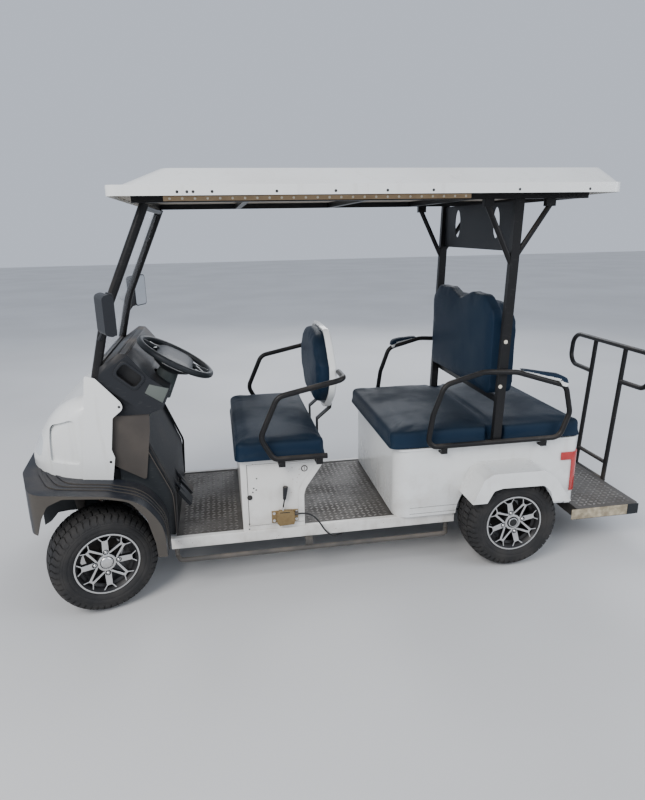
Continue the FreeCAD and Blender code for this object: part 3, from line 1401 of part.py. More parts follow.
def suspension_shape():
    """Leaf springs under the rear rails and coil-over dampers over the front beam."""
    pieces = []
    x = S.rear_axle_x
    eye_top = REAR_KICK - S.rail_depth - S.clearance
    seat = axle_height + 30 + S.clearance
    main = seat + LEAF * (len(LEAF_REACHES) - 1)
    reach = LEAF_REACHES[0]
    for side in (1, -1):
        y = side * S.rail_y
        longest = side_prism([(x - reach, eye_top, 0), (x, main + LEAF, 500), (x + reach, eye_top, 0),
                              (x + reach, eye_top - LEAF, 0), (x, main, 500),
                              (x - reach, eye_top - LEAF, 0)], y - 22, y + 22)
        leaves = []
        for below, shorter in enumerate(LEAF_REACHES[1:], start=1):
            leaf = longest.translated(V(0, 0, -LEAF * below))
            leaves.append(leaf.common(box(x - shorter, x + shorter, y - 22, y + 22, seat, 400)))
        clamp = box(x - 35, x + 35, y - 26, y + 26, seat, main + LEAF + 5)
        pieces.append(longest.fuse(leaves + [clamp]).removeSplitter())
    beam_room = box(800, 1200, -400, 400, 100, S.axle_high + S.clearance)
    tower_room = box(800, 1200, -400, 400, TOWER_TOP - 6 - S.clearance, 700)
    for side in (1, -1):
        low = V(S.front_axle_x - 8, side * 300, S.axle_high - 12)
        high = V(S.front_axle_x - 40, side * 284, TOWER_TOP)
        damper = rod(low, high, 14)
        coil = coil_shape(low + (high - low) * 0.36, low + (high - low) * 0.9)
        pieces.append(damper.fuse(coil).cut([beam_room, tower_room]))
    return Part.makeCompound(pieces)


shape_part("suspension", suspension_shape())


def hand_lever_shape():
    """Brake lever and its bracket on the side of the front seat box."""
    face = S.seat_box_half + S.clearance
    plate = box(68, 192, face, face + 5, 272, 346)
    ears = box(120, 156, face + 5, face + 26, 296, 352)
    grip = Part.makeCone(7, 13, 66, V(140, face + 16, 400), V(-0.1, 0, 1))
    stem = rod(V(148, face + 16, 310), V(140, face + 16, 402), 5)
    gland = box(68, 84, face + 4, face + 24, 312, 334)
    return plate.fuse([ears, grip, stem, gland]).removeSplitter()


shape_part("hand_lever", hand_lever_shape())

CABLE_RADIUS = 4
CABLE_ROUTE = [  # x, y, z
    (67.7, 416, 323), (32, 416, 323), (-4, 421, 306), (-32, 424, 270), (-54, 424, 228),
    (-86, 418, 194), (-128, 394, 180), (-184, 354, 184), (-258, 324, 190), (-350, 306, 188),
    (-450, 302, 186), (-550, 300, 188), (-650, 306, 196), (-740, 316, 212), (-810, 326, 228),
    (-864, 330, 236), (-900, 344, 238), (-914, 368, 238), (-914, 391.7, 238)]


def cord_shape(route, radius):
    """Round cord of straight runs, each bend as wide as its two runs allow."""
    points = [V(*place) for place in route]
    corners = [(points[0], 0)]
    for last, point, following in zip(points, points[1:], points[2:]):
        half_turn = (last - point).getAngle(following - point) / 2
        shorter = min(last.distanceToPoint(point), point.distanceToPoint(following))
        bend = 0.45 * shorter * math.tan(half_turn)
        corners.append((point, bend))
        print("cable bend", round(bend), "mm")
    corners.append((points[-1], 0))
    return tube(corners, radius)


shape_part("lever_cable", cord_shape(CABLE_ROUTE, CABLE_RADIUS))

doc.recompute()

for item in doc.Objects:
    if "Invalid" in item.State or "Error" in item.State:
        raise RuntimeError(f"{item.Label} has failed: {item.State}")
for item in sub_parts:
    if item.Shape.isNull() or not item.Shape.isValid():
        raise RuntimeError(f"{item.Label} has no valid shape")

os.makedirs("parts", exist_ok=True)
for item in sub_parts:
    item.Shape.exportStep(f"parts/{item.Label}.step")
    print(item.Label, len(item.Shape.Solids), round(item.Shape.Volume / 1e3), "cm3")
print(len(sub_parts), "sub-parts, centre moved by", CENTRE_X)
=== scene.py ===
# %% [markdown]
# # A golf cart, dressed in cells
# The cart's pieces come from a CAD model at real size, and this lesson gives them their looks.
# Each step says what a piece or finish is on the real cart, how it could be made, and why it
# is made this way. Everything is in metres: +X is forwards, +Y the cart's left, +Z up.

# %% Load the frame
import json
import math

import bmesh
import bpy
from mathutils import Matrix, Vector


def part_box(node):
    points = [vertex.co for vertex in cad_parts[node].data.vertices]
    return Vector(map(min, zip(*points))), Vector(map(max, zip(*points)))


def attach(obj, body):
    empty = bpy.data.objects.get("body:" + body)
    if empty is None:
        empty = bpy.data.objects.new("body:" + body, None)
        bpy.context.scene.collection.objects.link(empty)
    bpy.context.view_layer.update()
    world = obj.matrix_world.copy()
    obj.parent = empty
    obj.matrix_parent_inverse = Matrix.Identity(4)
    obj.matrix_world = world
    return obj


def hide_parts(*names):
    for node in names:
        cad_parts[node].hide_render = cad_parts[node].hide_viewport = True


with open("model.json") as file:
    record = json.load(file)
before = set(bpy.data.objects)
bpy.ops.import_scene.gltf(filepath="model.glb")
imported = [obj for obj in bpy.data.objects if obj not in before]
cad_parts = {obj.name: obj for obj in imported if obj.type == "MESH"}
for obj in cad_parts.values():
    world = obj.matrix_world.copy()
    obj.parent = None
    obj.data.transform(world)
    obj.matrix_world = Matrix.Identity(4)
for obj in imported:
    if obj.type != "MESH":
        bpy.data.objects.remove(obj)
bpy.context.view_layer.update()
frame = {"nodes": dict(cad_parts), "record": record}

# %% [markdown]
# ## The camera
# The photo was taken standing at the cart's left front corner with a phone. A phone's lens and
# a short distance give strong perspective, so the camera here stands just as close. Its place,
# turns and lens were fitted to points of known size.


# %% Camera
def placed(name, data):
    """An object in the scene that carries a mesh, curve, lamp or camera."""
    made = bpy.data.objects.new(name, data)
    bpy.context.scene.collection.objects.link(made)
    return made


CAMERA_PLACE = Vector((0.617, 2.977, 1.603))
CAMERA_YAW, CAMERA_PITCH, CAMERA_ROLL = (math.radians(a) for a in (9.668, 15.826, -1.022))
FOCAL_PIXELS = 604.92
PHOTO_LONG_SIDE = 800
SENSOR = 36.0

ahead = Vector((-math.sin(CAMERA_YAW) * math.cos(CAMERA_PITCH),
                -math.cos(CAMERA_YAW) * math.cos(CAMERA_PITCH), -math.sin(CAMERA_PITCH)))
level_right = Vector((-math.cos(CAMERA_YAW), math.sin(CAMERA_YAW), 0))
level_up = level_right.cross(ahead)
right = level_right * math.cos(CAMERA_ROLL) + level_up * math.sin(CAMERA_ROLL)
upward = level_up * math.cos(CAMERA_ROLL) - level_right * math.sin(CAMERA_ROLL)
lens = bpy.data.cameras.new("photo_camera")
lens.sensor_fit = "AUTO"
lens.sensor_width = SENSOR
lens.lens = FOCAL_PIXELS * SENSOR / PHOTO_LONG_SIDE
lens.clip_start, lens.clip_end = 0.05, 60
camera = placed("photo_camera", lens)
turn = Matrix((right, upward, -ahead)).transposed()
camera.matrix_world = Matrix.Translation(CAMERA_PLACE) @ turn.to_4x4()
bpy.context.scene.camera = camera
print("lens", round(lens.lens, 2), "mm")

# %% [markdown]
# ## Writing nodes
# Every finish and every repeat here is a tree of nodes, and small classes write them. A Wire is
# an output that can be added and multiplied, so that a pattern reads as a formula. A Recipe
# adds any node from its settings and its inputs; a Paint is the recipe of a material, and a
# Tree that of a repeat.


# %% Node recipes
class Wire:
    """An output socket that takes part in sums, each of which adds a Math node."""

    def __init__(self, recipe, socket):
        self.recipe, self.socket = recipe, socket

    def of(self, name):
        """Another output of the same node."""
        return Wire(self.recipe, self.socket.node.outputs[name])

    def math(self, operation, *values, clamp=False):
        """The result of a Math node on values or wires."""
        settings = {"operation": operation, "use_clamp": clamp}
        return self.recipe.node("ShaderNodeMath", settings, dict(enumerate(values)))

    def __rsub__(self, other):
        return self.math("SUBTRACT", other, self)

    def __abs__(self):
        return self.math("ABSOLUTE", self)

    def floor(self):
        return self.math("FLOOR", self)

    def clamped(self):
        return self.math("ADD", self, 0.0, clamp=True)

    def step(self, low, high):
        """0 below low, 1 above high and smooth between."""
        settings = {"interpolation_type": "SMOOTHSTEP"}
        return self.recipe.node("ShaderNodeMapRange", settings, {0: self, 1: low, 2: high})


def operator(operation):
    """A method of Wire that adds the Math node of one operation."""
    return lambda wire, other: wire.math(operation, wire, other)


Wire.__add__ = Wire.__radd__ = operator("ADD")
Wire.__mul__ = Wire.__rmul__ = operator("MULTIPLY")
Wire.__sub__, Wire.__truediv__ = operator("SUBTRACT"), operator("DIVIDE")
Wire.__mod__, Wire.__gt__ = operator("MODULO"), operator("GREATER_THAN")


class Recipe:
    """A node tree being written, for a material or for geometry."""

    def __init__(self, tree):
        self.tree = tree

    def node(self, kind, settings=None, values=None, out=0):
        """Adds a node: its settings first, then the values or wires of its inputs."""
        made = self.tree.nodes.new(kind)
        for name, value in (settings or {}).items():
            setattr(made, name, value)
        for key, value in (values or {}).items():
            if isinstance(value, Wire):
                self.tree.links.new(value.socket, made.inputs[key])
            else:
                made.inputs[key].default_value = value
        return Wire(self, made.outputs[out]) if made.outputs else None


class Tree(Recipe):
    """A geometry tree being written; its own inputs are read by name, as in tree["Count"]."""

    def __init__(self, name, **inputs):
        super().__init__(bpy.data.node_groups.new(name, "GeometryNodeTree"))
        self.socket("Geometry", "INPUT", "Geometry")
        for label, kind in inputs.items():
            self.socket(label, "INPUT", kind)
        self.socket("Geometry", "OUTPUT", "Geometry")
        self.entry = self.node("NodeGroupInput")

    def socket(self, label, way, kind):
        self.tree.interface.new_socket(label, in_out=way, socket_type="NodeSocket" + kind)

    def __getitem__(self, name):
        return self.entry.of(name)


class Paint(Recipe):
    """A material being written: one Principled surface and the patterns that feed it."""

    def __init__(self, name, **surface):
        self.material = bpy.data.materials.new(name)
        self.material.use_nodes = True
        super().__init__(self.material.node_tree)
        self.tree.nodes.clear()
        self.surface = self.node("ShaderNodeBsdfPrincipled")
        self.node("ShaderNodeOutputMaterial", values={"Surface": self.surface})
        self.place = self.node("ShaderNodeTexCoord", out="Object")
        self.set(**surface)

    def set(self, **surface):
        """Sets sockets of the surface by name, with an underscore for each space."""
        for name, value in surface.items():
            socket = self.surface.socket.node.inputs[name.replace("_", " ")]
            if isinstance(value, Wire):
                self.tree.links.new(value.socket, socket)
            else:
                socket.default_value = value

    def stretched(self, x, y, z):
        """Object coordinates multiplied along each axis."""
        return self.node("ShaderNodeVectorMath", {"operation": "MULTIPLY"},
                         {0: self.place, 1: (x, y, z)})

    def noise(self, scale, detail=3.0, rough=0.55, at=None):
        """Cloudy noise between 0 and 1."""
        values = {"Vector": at or self.place, "Scale": scale, "Detail": detail, "Roughness": rough}
        return self.node("ShaderNodeTexNoise", values=values)

    def cells(self, scale, feature="F1"):
        """Distance within a pattern of small random cells."""
        return self.node("ShaderNodeTexVoronoi", {"feature": feature},
                         {"Vector": self.place, "Scale": scale}, "Distance")

    def mix(self, share, first, second):
        """A colour between two others."""
        return self.node("ShaderNodeMix", {"data_type": "RGBA"}, {0: share, 6: first, 7: second}, 2)

    def facing_up(self):
        """How far the surface faces the sky: 1 for a top, 0 for a wall."""
        normal = self.node("ShaderNodeNewGeometry", out="Normal")
        return self.node("ShaderNodeSeparateXYZ", values={0: normal}, out=2).clamped()

    def facing_side(self):
        """How far the surface faces left or right."""
        normal = self.node("ShaderNodeNewGeometry", out="Normal")
        return abs(self.node("ShaderNodeSeparateXYZ", values={0: normal}, out=1))

    def height(self):
        """Height over the ground in metres."""
        return self.node("ShaderNodeSeparateXYZ", values={0: self.place}, out=2)

    def bump(self, height, strength, distance):
        """A normal tilted as if the height pattern stood out by a distance in metres."""
        values = {"Height": height, "Strength": strength, "Distance": distance}
        return self.node("ShaderNodeBump", values=values)


def grey(value):
    return (value, value, value, 1)

# %% [markdown]
# ## Floor and light
# A plain pale floor and large soft lights show the forms without telling a story of their own.
# The key light stands behind the camera to the left and high, as the open sky does in the photo.

# %% Floor, sky and lights
floor_paint = Paint("studio_floor", Roughness=0.85)
floor_shade = floor_paint.noise(0.6, 2).step(0.3, 0.7)
floor_paint.set(Base_Color=floor_paint.mix(floor_shade, grey(0.60), grey(0.66)))
bpy.ops.mesh.primitive_plane_add(size=60, location=(0, 0, -0.0005))
floor = bpy.context.object
floor.name = "studio_floor"
floor.data.materials.append(floor_paint.material)

sky = bpy.data.worlds.new("studio_sky")
sky.use_nodes = True
SKY_COLOUR = (0.80, 0.87, 1.0, 1)
sky.node_tree.nodes["Background"].inputs["Color"].default_value = SKY_COLOUR
sky.node_tree.nodes["Background"].inputs["Strength"].default_value = 0.75
bpy.context.scene.world = sky

LIT_POINT = Vector((0, 0, 0.8))
LIGHTS = [  # name, place, size, power, colour
    ("key", (3.6, 4.2, 4.6), 3.4, 330, (1.0, 0.97, 0.93)),
    ("fill", (-4.2, 3.4, 3.0), 3.2, 110, (0.93, 0.96, 1.0)),
    ("rim", (-1.5, -5.0, 4.2), 3.6, 160, (0.95, 0.97, 1.0))]
for name, place, size, power, colour in LIGHTS:
    lamp = bpy.data.lights.new(name, "AREA")
    lamp.shape = "DISK"
    lamp.size, lamp.energy, lamp.color = size, power, colour
    light = placed(name, lamp)
    light.location = place
    light.rotation_euler = (LIT_POINT - Vector(place)).to_track_quat("-Z", "Y").to_euler()
print(len(LIGHTS), "lights")

# %% [markdown]
# ## White paint
# The roof, nose and rear body are gloss white mouldings that have stood outdoors. Gloss white
# shows little by itself, so the finish lies in its faults: dust on what faces up, faint grey
# streaks where rain has run, and a haze of dirt near the ground. One function makes both
# whites, because the seat box is sheet metal and adds specks of rust.


# %% White finishes
def white_paint(name, clean, roughness, rust):
    """Weathered white: dust on top, streaks on walls, and rust specks where it is steel."""
    paint = Paint(name)
    cloudy = paint.noise(2.2, 4)
    streaks = paint.noise(5, 3, at=paint.stretched(5, 5, 0.7)).step(0.56, 0.8)
    low_dirt = (1 - paint.height().step(0.2, 0.62)) * paint.noise(14, 5).step(0.35, 0.75)
    dust = paint.facing_up() * cloudy.step(0.35, 0.7)
    dirt = (streaks * 0.22 + low_dirt * 0.45 + dust * 0.2).clamped()
    colour = paint.mix(dirt, clean, (0.42, 0.38, 0.33, 1))
    if rust:
        specks = paint.cells(55).step(0.16, 0.05) * (paint.noise(9, 2) > 0.56)
        colour = paint.mix(specks * rust, colour, (0.22, 0.09, 0.03, 1))
    ripple = paint.noise(7, 2)
    paint.set(Base_Color=colour, Roughness=roughness + dirt * 0.35, Coat_Weight=0.25,
              Coat_Roughness=0.12, Normal=paint.bump(ripple, 0.08, 0.004))
    return paint.material


white_body = white_paint("white_moulding", (0.80, 0.81, 0.80, 1), 0.22, 0)
white_metal = white_paint("white_sheet_metal", (0.76, 0.75, 0.72, 1), 0.34, 0.8)

# %% [markdown]
# ## Black finishes
# Three blacks sit side by side: grained plastic on the bumper and dashboard, satin powder coat
# on the tubes, and dusty castings below. Grain comes from small cells as bump. The dust tells
# them apart most, so it is brown, lies on upper faces and gathers near the ground.


# %% Black plastic and powder coat
def black_finish(name, colour, roughness, grain_scale, grain_depth, dust_share, dusty_below=0.5,
                 sides=None):
    """A black with fine grain, scuffs and brown dust; its side faces may be paler, partly dust and partly
    painted light.
    """
    paint = Paint(name, Specular_IOR_Level=0.18)
    patches = paint.noise(6, 5).step(0.38, 0.72)
    lying = paint.facing_up() * 0.55 + (1 - paint.height().step(0.08, dusty_below)) * 0.6
    dust = (lying * patches * dust_share).clamped()
    scuffs = paint.noise(30, 2, at=paint.stretched(1, 1, 6)).step(0.62, 0.74) * 0.12
    base = paint.mix(scuffs, colour, (0.16, 0.155, 0.15, 1))
    # Faces turned left or right get a paler brown-grey, partly dust and partly painted light on the lit
    # flanks.
    if sides:
        base = paint.mix(paint.facing_side().step(0.5, 0.8) * (0.75 + patches * 0.25), base, sides)
    grain = paint.cells(grain_scale, "SMOOTH_F1")
    paint.set(Base_Color=paint.mix(dust, base, (0.24, 0.20, 0.16, 1)),
              Roughness=roughness + dust * 0.35, Normal=paint.bump(grain, 0.35, grain_depth))
    return paint.material


black_plastic = black_finish("grained_black_plastic", (0.022, 0.024, 0.028, 1), 0.42, 900, 0.0004, 0.8)
black_metal = black_finish("black_powder_coat", (0.014, 0.014, 0.015, 1), 0.34, 600, 0.00025, 0.45)
cast_black = black_finish("dusty_casting", (0.045, 0.042, 0.040, 1), 0.6, 180, 0.0008, 1.3)
# The bumper and toe board have paler side faces: partly dust and partly painted light.
moulding_plastic = black_finish("moulding_plastic", (0.018, 0.021, 0.028, 1), 0.40, 900, 0.0004, 0.25,
                                sides=(0.088, 0.078, 0.066, 1))
toe_plastic = black_finish("toe_plastic", (0.010, 0.012, 0.016, 1), 0.55, 900, 0.0004, 0.3, 0.34,
                           sides=(0.080, 0.070, 0.062, 1))
column_plastic = black_finish("column_plastic", (0.060, 0.072, 0.072, 1), 0.5, 900, 0.0003, 0.3)
panel_grey = black_finish("panel_grey", (0.120, 0.135, 0.125, 1), 0.5, 900, 0.0003, 0.2)
wheel_plastic = black_finish("wheel_plastic", (0.020, 0.023, 0.026, 1), 0.36, 1200, 0.0002, 0.12)
step_steel = black_finish("scuffed_step_steel", (0.075, 0.072, 0.068, 1), 0.5, 300, 0.0004, 0.45)
leaf_steel = black_finish("leaf_steel", (0.030, 0.028, 0.027, 1), 0.6, 220, 0.0006, 1.2)

# %% [markdown]
# ## Blue vinyl
# The seats are navy vinyl: a fine leather grain, satin shine and paler, rougher places where
# people sit. The grain is two sizes of cells as bump; the wear is slow noise that lifts the
# colour a little. The paint reads Object coordinates, because cloth simulation removes UVs.

# %% Vinyl
vinyl_paint = Paint("navy_vinyl", Specular_IOR_Level=0.12)
grain_cells = vinyl_paint.cells(420, "DISTANCE_TO_EDGE")
pores = vinyl_paint.noise(900, 2)
worn = vinyl_paint.noise(4, 4).step(0.4, 0.72)
dusty = vinyl_paint.facing_up() * worn
vinyl_colour = vinyl_paint.mix(worn * 0.5, (0.008, 0.021, 0.043, 1), (0.013, 0.029, 0.053, 1))
vinyl_colour = vinyl_paint.mix(dusty * 0.06, vinyl_colour, (0.075, 0.085, 0.095, 1))
# Faces turned to the sky are darkened: painted shade on the seat tops.
vinyl_colour = vinyl_paint.mix(vinyl_paint.facing_up() * 0.55, vinyl_colour, (0.006, 0.010, 0.015, 1))
vinyl_paint.set(Base_Color=vinyl_colour, Roughness=0.48 + worn * 0.14 + dusty * 0.08,
                Normal=vinyl_paint.bump(grain_cells.step(0, 0.2) + pores * 0.3, 0.28, 0.0006))
navy_vinyl = vinyl_paint.material

# %% [markdown]
# ## Metals, rubber and lenses
# Most of the rest is one colour that drifts to another in patches, and where it is more worn it
# is also rougher. Noise makes the patches, and one function writes every such finish. It does
# for turned alloy, raised tread crests, yellow zinc, rusty springs, red lenses and cable jacket.


# %% Two-tone finishes
def two_tone(name, scale, detail, first, second, roughness, rougher, patches=None, **surface):
    """A finish that drifts between two colours, its roughness following the same noise."""
    paint = Paint(name, **surface)
    tone = paint.noise(scale, detail)
    if patches:
        tone = tone.step(*patches)
    paint.set(Base_Color=paint.mix(tone, (*first, 1), (*second, 1)), Roughness=tone * rougher + roughness)
    return paint.material


def one_tone(name, scale, detail, colour, roughness, rougher, **surface):
    """A finish of one colour whose roughness alone varies."""
    paint = Paint(name, Base_Color=(*colour, 1), **surface)
    paint.set(Roughness=paint.noise(scale, detail) * rougher + roughness)
    return paint.material


machined_alloy = two_tone("machined_alloy", 40, 3, (0.58, 0.58, 0.58), (0.74, 0.74, 0.73), 0.24, 0.16,
                          Metallic=1.0)
# The lozenge crests are lighter than the plate: partly wear and partly a painted highlight.
worn_highlit_crest = two_tone("worn_tread_crest", 6, 5, (0.11, 0.10, 0.092), (0.26, 0.248, 0.23), 0.30, 0.2,
                      patches=(0.3, 0.7), Metallic=0.6)
yellow_zinc = two_tone("yellow_zinc", 60, 4, (0.22, 0.14, 0.07), (0.40, 0.30, 0.15), 0.38, 0.25,
                       Metallic=0.9)
spring_steel = two_tone("rusty_spring_steel", 26, 5, (0.50, 0.50, 0.48), (0.20, 0.12, 0.075), 0.42, 0.4,
                        patches=(0.42, 0.62), Metallic=0.4)
red_lens = two_tone("red_lens", 30, 2, (0.36, 0.010, 0.012), (0.52, 0.030, 0.025), 0.16, 0.14,
                    Coat_Weight=0.6)
strip_beige = two_tone("lamp_strip_beige", 30, 3, (0.30, 0.20, 0.11), (0.46, 0.34, 0.21), 0.5, 0.0)
step_beige = two_tone("step_beige", 26, 4, (0.30, 0.25, 0.17), (0.58, 0.50, 0.36), 0.45, 0.2,
                      patches=(0.35, 0.7), Metallic=0.3)
lamp_white = two_tone("lamp_white", 300, 2, (0.62, 0.56, 0.44), (0.82, 0.78, 0.68), 0.35, 0.0)
bright_metal = one_tone("bright_fixings", 80, 2, (0.72, 0.72, 0.72), 0.16, 0.2, Metallic=1.0)
cable_jacket = one_tone("cable_jacket", 70, 2, (0.012, 0.012, 0.013), 0.42, 0.15)
black_pockets = one_tone("black_pockets", 50, 3, (0.008, 0.008, 0.009), 0.34, 0.3)
mirror_glass = one_tone("mirror_glass", 12, 3, (0.82, 0.84, 0.86), 0.04, 0.04, Metallic=1.0)

# %% Tread plate, rubber and roof liner
plate_paint = Paint("tread_plate", Metallic=0.35)
plate_dirt = plate_paint.noise(5, 6, 0.7).step(0.38, 0.68)
plate_grit = plate_paint.noise(120, 3)
plate_colour = plate_paint.mix(plate_grit * 0.6, (0.085, 0.079, 0.073, 1), (0.15, 0.140, 0.128, 1))
plate_paint.set(Base_Color=plate_paint.mix(plate_dirt * 0.6, plate_colour, (0.070, 0.063, 0.056, 1)),
                Roughness=0.55 + plate_dirt * 0.25, Normal=plate_paint.bump(plate_grit, 0.2, 0.0006))
tread_plate = plate_paint.material

rubber_paint = Paint("tyre_rubber", Specular_IOR_Level=0.3)
road_dust = rubber_paint.noise(11, 5).step(0.35, 0.75)
rubber_colour = rubber_paint.mix(road_dust * 0.55, (0.020, 0.020, 0.021, 1), (0.060, 0.056, 0.052, 1))
rubber_paint.set(Base_Color=rubber_colour, Roughness=0.68 + road_dust * 0.2,
                 Normal=rubber_paint.bump(rubber_paint.noise(260, 2), 0.25, 0.0005))
tyre_rubber = rubber_paint.material

liner_paint = Paint("roof_liner", Roughness=0.7)
liner_tone = liner_paint.noise(3, 4)
liner_paint.set(Base_Color=liner_paint.mix(liner_tone, (0.33, 0.29, 0.23, 1), (0.42, 0.37, 0.30, 1)),
                Normal=liner_paint.bump(liner_paint.noise(220, 2), 0.2, 0.0006))
roof_liner = liner_paint.material

# %% Screen glass and headlamp lens
glass_paint = Paint("screen_glass", Base_Color=(0.90, 0.94, 0.93, 1), Transmission_Weight=1.0, IOR=1.45)
glass_dust = glass_paint.noise(8, 4).step(0.4, 0.8)
glass_paint.set(Roughness=0.02 + glass_dust * 0.05, Alpha=0.14 + glass_dust * 0.05)
screen_glass = glass_paint.material

clear_paint = Paint("clear_lens", Coat_Weight=0.8)
ribs = clear_paint.node("ShaderNodeTexWave", {"bands_direction": "Y"},
                        {"Vector": clear_paint.place, "Scale": 40.0})
clear_paint.set(Base_Color=clear_paint.mix(ribs, (0.50, 0.54, 0.58, 1), (0.80, 0.83, 0.86, 1)),
                Roughness=0.08 + ribs * 0.08)
clear_lens = clear_paint.material
print(len(bpy.data.materials), "materials")

# %% [markdown]
# ## Dressing the CAD pieces
# A CAD piece whose shape is right keeps it and only gets a better material. One table says
# which material each takes; pieces that this lesson replaces are left out of it.

# %% Materials on CAD pieces
FINISHES = [
    (white_body, ("nose_cowl", "cowl_sides", "roof_shell", "rear_body", "wheel_flares")),
    (white_metal, ("front_seat_box", "door_sills")),
    (moulding_plastic, ("front_moulding",)), (toe_plastic, ("leg_shield",)),
    (column_plastic, ("steering_column",)), (step_steel, ("step_bars",)),
    (black_plastic, ("pedals", "battery_block", "mirrors")),
    (black_metal, ("chassis_frame", "windscreen_frame", "roof_frame", "front_armrests", "rear_arm_loops",
                   "rear_posts", "grab_rail")),
    (cast_black, ("front_axle", "rear_axle", "knuckle_left", "knuckle_right", "tie_rod")),
    (tread_plate, ("floor_deck", "rear_platform")), (screen_glass, ("windscreen_glass",)),
    (clear_lens, ("headlamps",)), (roof_liner, ("roof_liner",))]
for finish, nodes in FINISHES:
    for node in nodes:
        mesh = frame["nodes"][node].data
        mesh.materials.clear()
        mesh.materials.append(finish)
print(sum(len(nodes) for finish, nodes in FINISHES), "CAD pieces dressed")

# %% [markdown]
# ## Mesh helpers
# Most pieces here are small meshes made one by one: a lathe for round things, a prism for flat
# ones, a tube along a curve for bars. A helper then bevels or bends them with modifiers and
# reads the result back as a plain mesh, so that no live modifier is left on a finished piece.


# %% Reading a mesh back from modifiers
def read_back(holder):
    """The plain mesh of an object as its modifiers leave it; the object goes."""
    result = bpy.data.meshes.new_from_object(holder.evaluated_get(bpy.context.evaluated_depsgraph_get()))
    bpy.data.objects.remove(holder)
    return result


def evaluated(mesh, *steps):
    """The mesh after modifiers: each step is a modifier type and its settings."""
    holder = placed("holder", mesh)
    for kind, settings in steps:
        modifier = holder.modifiers.new(kind, kind)
        for name, value in settings.items():
            setattr(modifier, name, value)
    return read_back(holder)


def bevelled(mesh, width, segments=2):
    """Edges sharper than 30 degrees get a rounded bevel."""
    sharp = math.radians(30)
    return evaluated(mesh, ("BEVEL", {"width": width, "segments": segments, "limit_method": "ANGLE",
                                      "angle_limit": sharp}))


def painted(mesh, material):
    """The mesh in one material."""
    mesh.materials.clear()
    mesh.materials.append(material)
    return mesh


def smooth(mesh, angle=40):
    """The mesh shaded smooth, apart from edges sharper than an angle in degrees."""
    mesh.shade_smooth()
    mesh.set_sharp_from_angle(angle=math.radians(angle))
    return mesh


def moved(mesh, matrix):
    """The mesh put through a matrix, with its faces still outwards after a mirror."""
    mesh.transform(matrix)
    if matrix.determinant() < 0:
        mesh.flip_normals()
    return mesh


ACROSS = Matrix.Scale(-1, 4, (0, 1, 0))


def mirrored(mesh):
    """A copy of the mesh on the other side of the cart."""
    return moved(mesh.copy(), ACROSS)


def smoothed(meshes, angle=30):
    """The meshes, each shaded smooth up to an angle."""
    return [smooth(mesh, angle) for mesh in meshes]


def joined(name, meshes):
    """One mesh from several, keeping each one's materials and smooth shading."""
    whole = bmesh.new()
    materials = []
    for mesh in meshes:
        start = len(whole.faces)
        whole.from_mesh(mesh)
        whole.faces.ensure_lookup_table()
        for face in whole.faces[start:]:
            material = mesh.materials[face.material_index]
            if material not in materials:
                materials.append(material)
            face.material_index = materials.index(material)
    result = bpy.data.meshes.new(name)
    whole.to_mesh(result)
    whole.free()
    for material in materials:
        result.materials.append(material)
    return result


def piece(name, mesh, body, slot, *replaced):
    """A finished piece: an object at the origin that rides on a body."""
    made = placed(name, mesh)
    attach(made, body)
    if replaced:
        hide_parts(*replaced)
    print(name, len(mesh.polygons), "faces")
    return made


# %% Shapes
def as_mesh(work, material):
    """The plain mesh of a worked form, in one material."""
    mesh = bpy.data.meshes.new("work")
    work.to_mesh(mesh)
    work.free()
    return painted(mesh, material)


def from_bmesh(work, material):
    """The same for a form whose faces may look inwards."""
    bmesh.ops.recalc_face_normals(work, faces=work.faces)
    return as_mesh(work, material)


def circle(steps):
    """The angles of points spaced evenly round a circle."""
    return [math.tau * i / steps for i in range(steps)]


def wall(work, ring, other):
    """Faces between two rings of points; a ring may be one point repeated."""
    for i in range(len(ring)):
        j = (i + 1) % len(ring)
        corners = list(dict.fromkeys((ring[i], ring[j], other[j], other[i])))
        if len(corners) > 2:
            work.faces.new(corners)


def lathe(profile, material, steps=96, closed=True):
    """Turns rows of (y, radius) about the Y axis; an open profile starts and ends on the axis."""
    work = bmesh.new()
    rings = []
    for y, radius in profile:
        if radius == 0:
            rings.append([work.verts.new((0, y, 0))] * steps)
        else:
            points = [(radius * math.sin(a), y, radius * math.cos(a)) for a in circle(steps)]
            rings.append([work.verts.new(point) for point in points])
    for ring, following in zip(rings, rings[1:] + rings[:1] if closed else rings[1:]):
        wall(work, ring, following)
    return from_bmesh(work, material)


def prism(outline, low, high, material, axis=1):
    """Extrudes an outline along an axis; the outline gives the two other coordinates in order."""
    work = bmesh.new()
    ends = []
    for level in (low, high):
        points = [list(point) for point in outline]
        for point in points:
            point.insert(axis, level)
        ends.append([work.verts.new(point) for point in points])
    work.faces.new(ends[0])
    work.faces.new(ends[1])
    wall(work, *ends)
    return from_bmesh(work, material)


def rounded_outline(half_a, half_b, radius, steps=6):
    """Points of a rounded rectangle about its middle."""
    points = []
    for quarter, (a, b) in enumerate(((1, 1), (-1, 1), (-1, -1), (1, -1))):
        for i in range(steps + 1):
            turn = math.radians(90 * (quarter + i / steps))
            points.append((a * (half_a - radius) + radius * math.cos(turn),
                           b * (half_b - radius) + radius * math.sin(turn)))
    return points


def rectangle(a, b, a_to, b_to):
    """The outline of a rectangle between two corners."""
    return [(a, b), (a_to, b), (a_to, b_to), (a, b_to)]


def block(low, high, material, width=0.0015):
    """A box between two corners, its edges rounded."""
    return bevelled(prism(rectangle(*low[:2], *high[:2]), low[2], high[2], material, axis=2), width)


def rod(start, end, radius, material, radius_end=None, steps=24, bevel=0.0):
    """A round bar between two points, straight or tapered."""
    start, end = Vector(start), Vector(end)
    length = (end - start).length
    tip = radius if radius_end is None else radius_end
    mesh = lathe([(0, 0), (0, radius), (length, tip), (length, 0)], material, steps, closed=False)
    if bevel:
        mesh = bevelled(mesh, bevel)
    turn = (end - start).to_track_quat("Y", "Z").to_matrix().to_4x4()
    return smooth(moved(mesh, Matrix.Translation(start) @ turn))


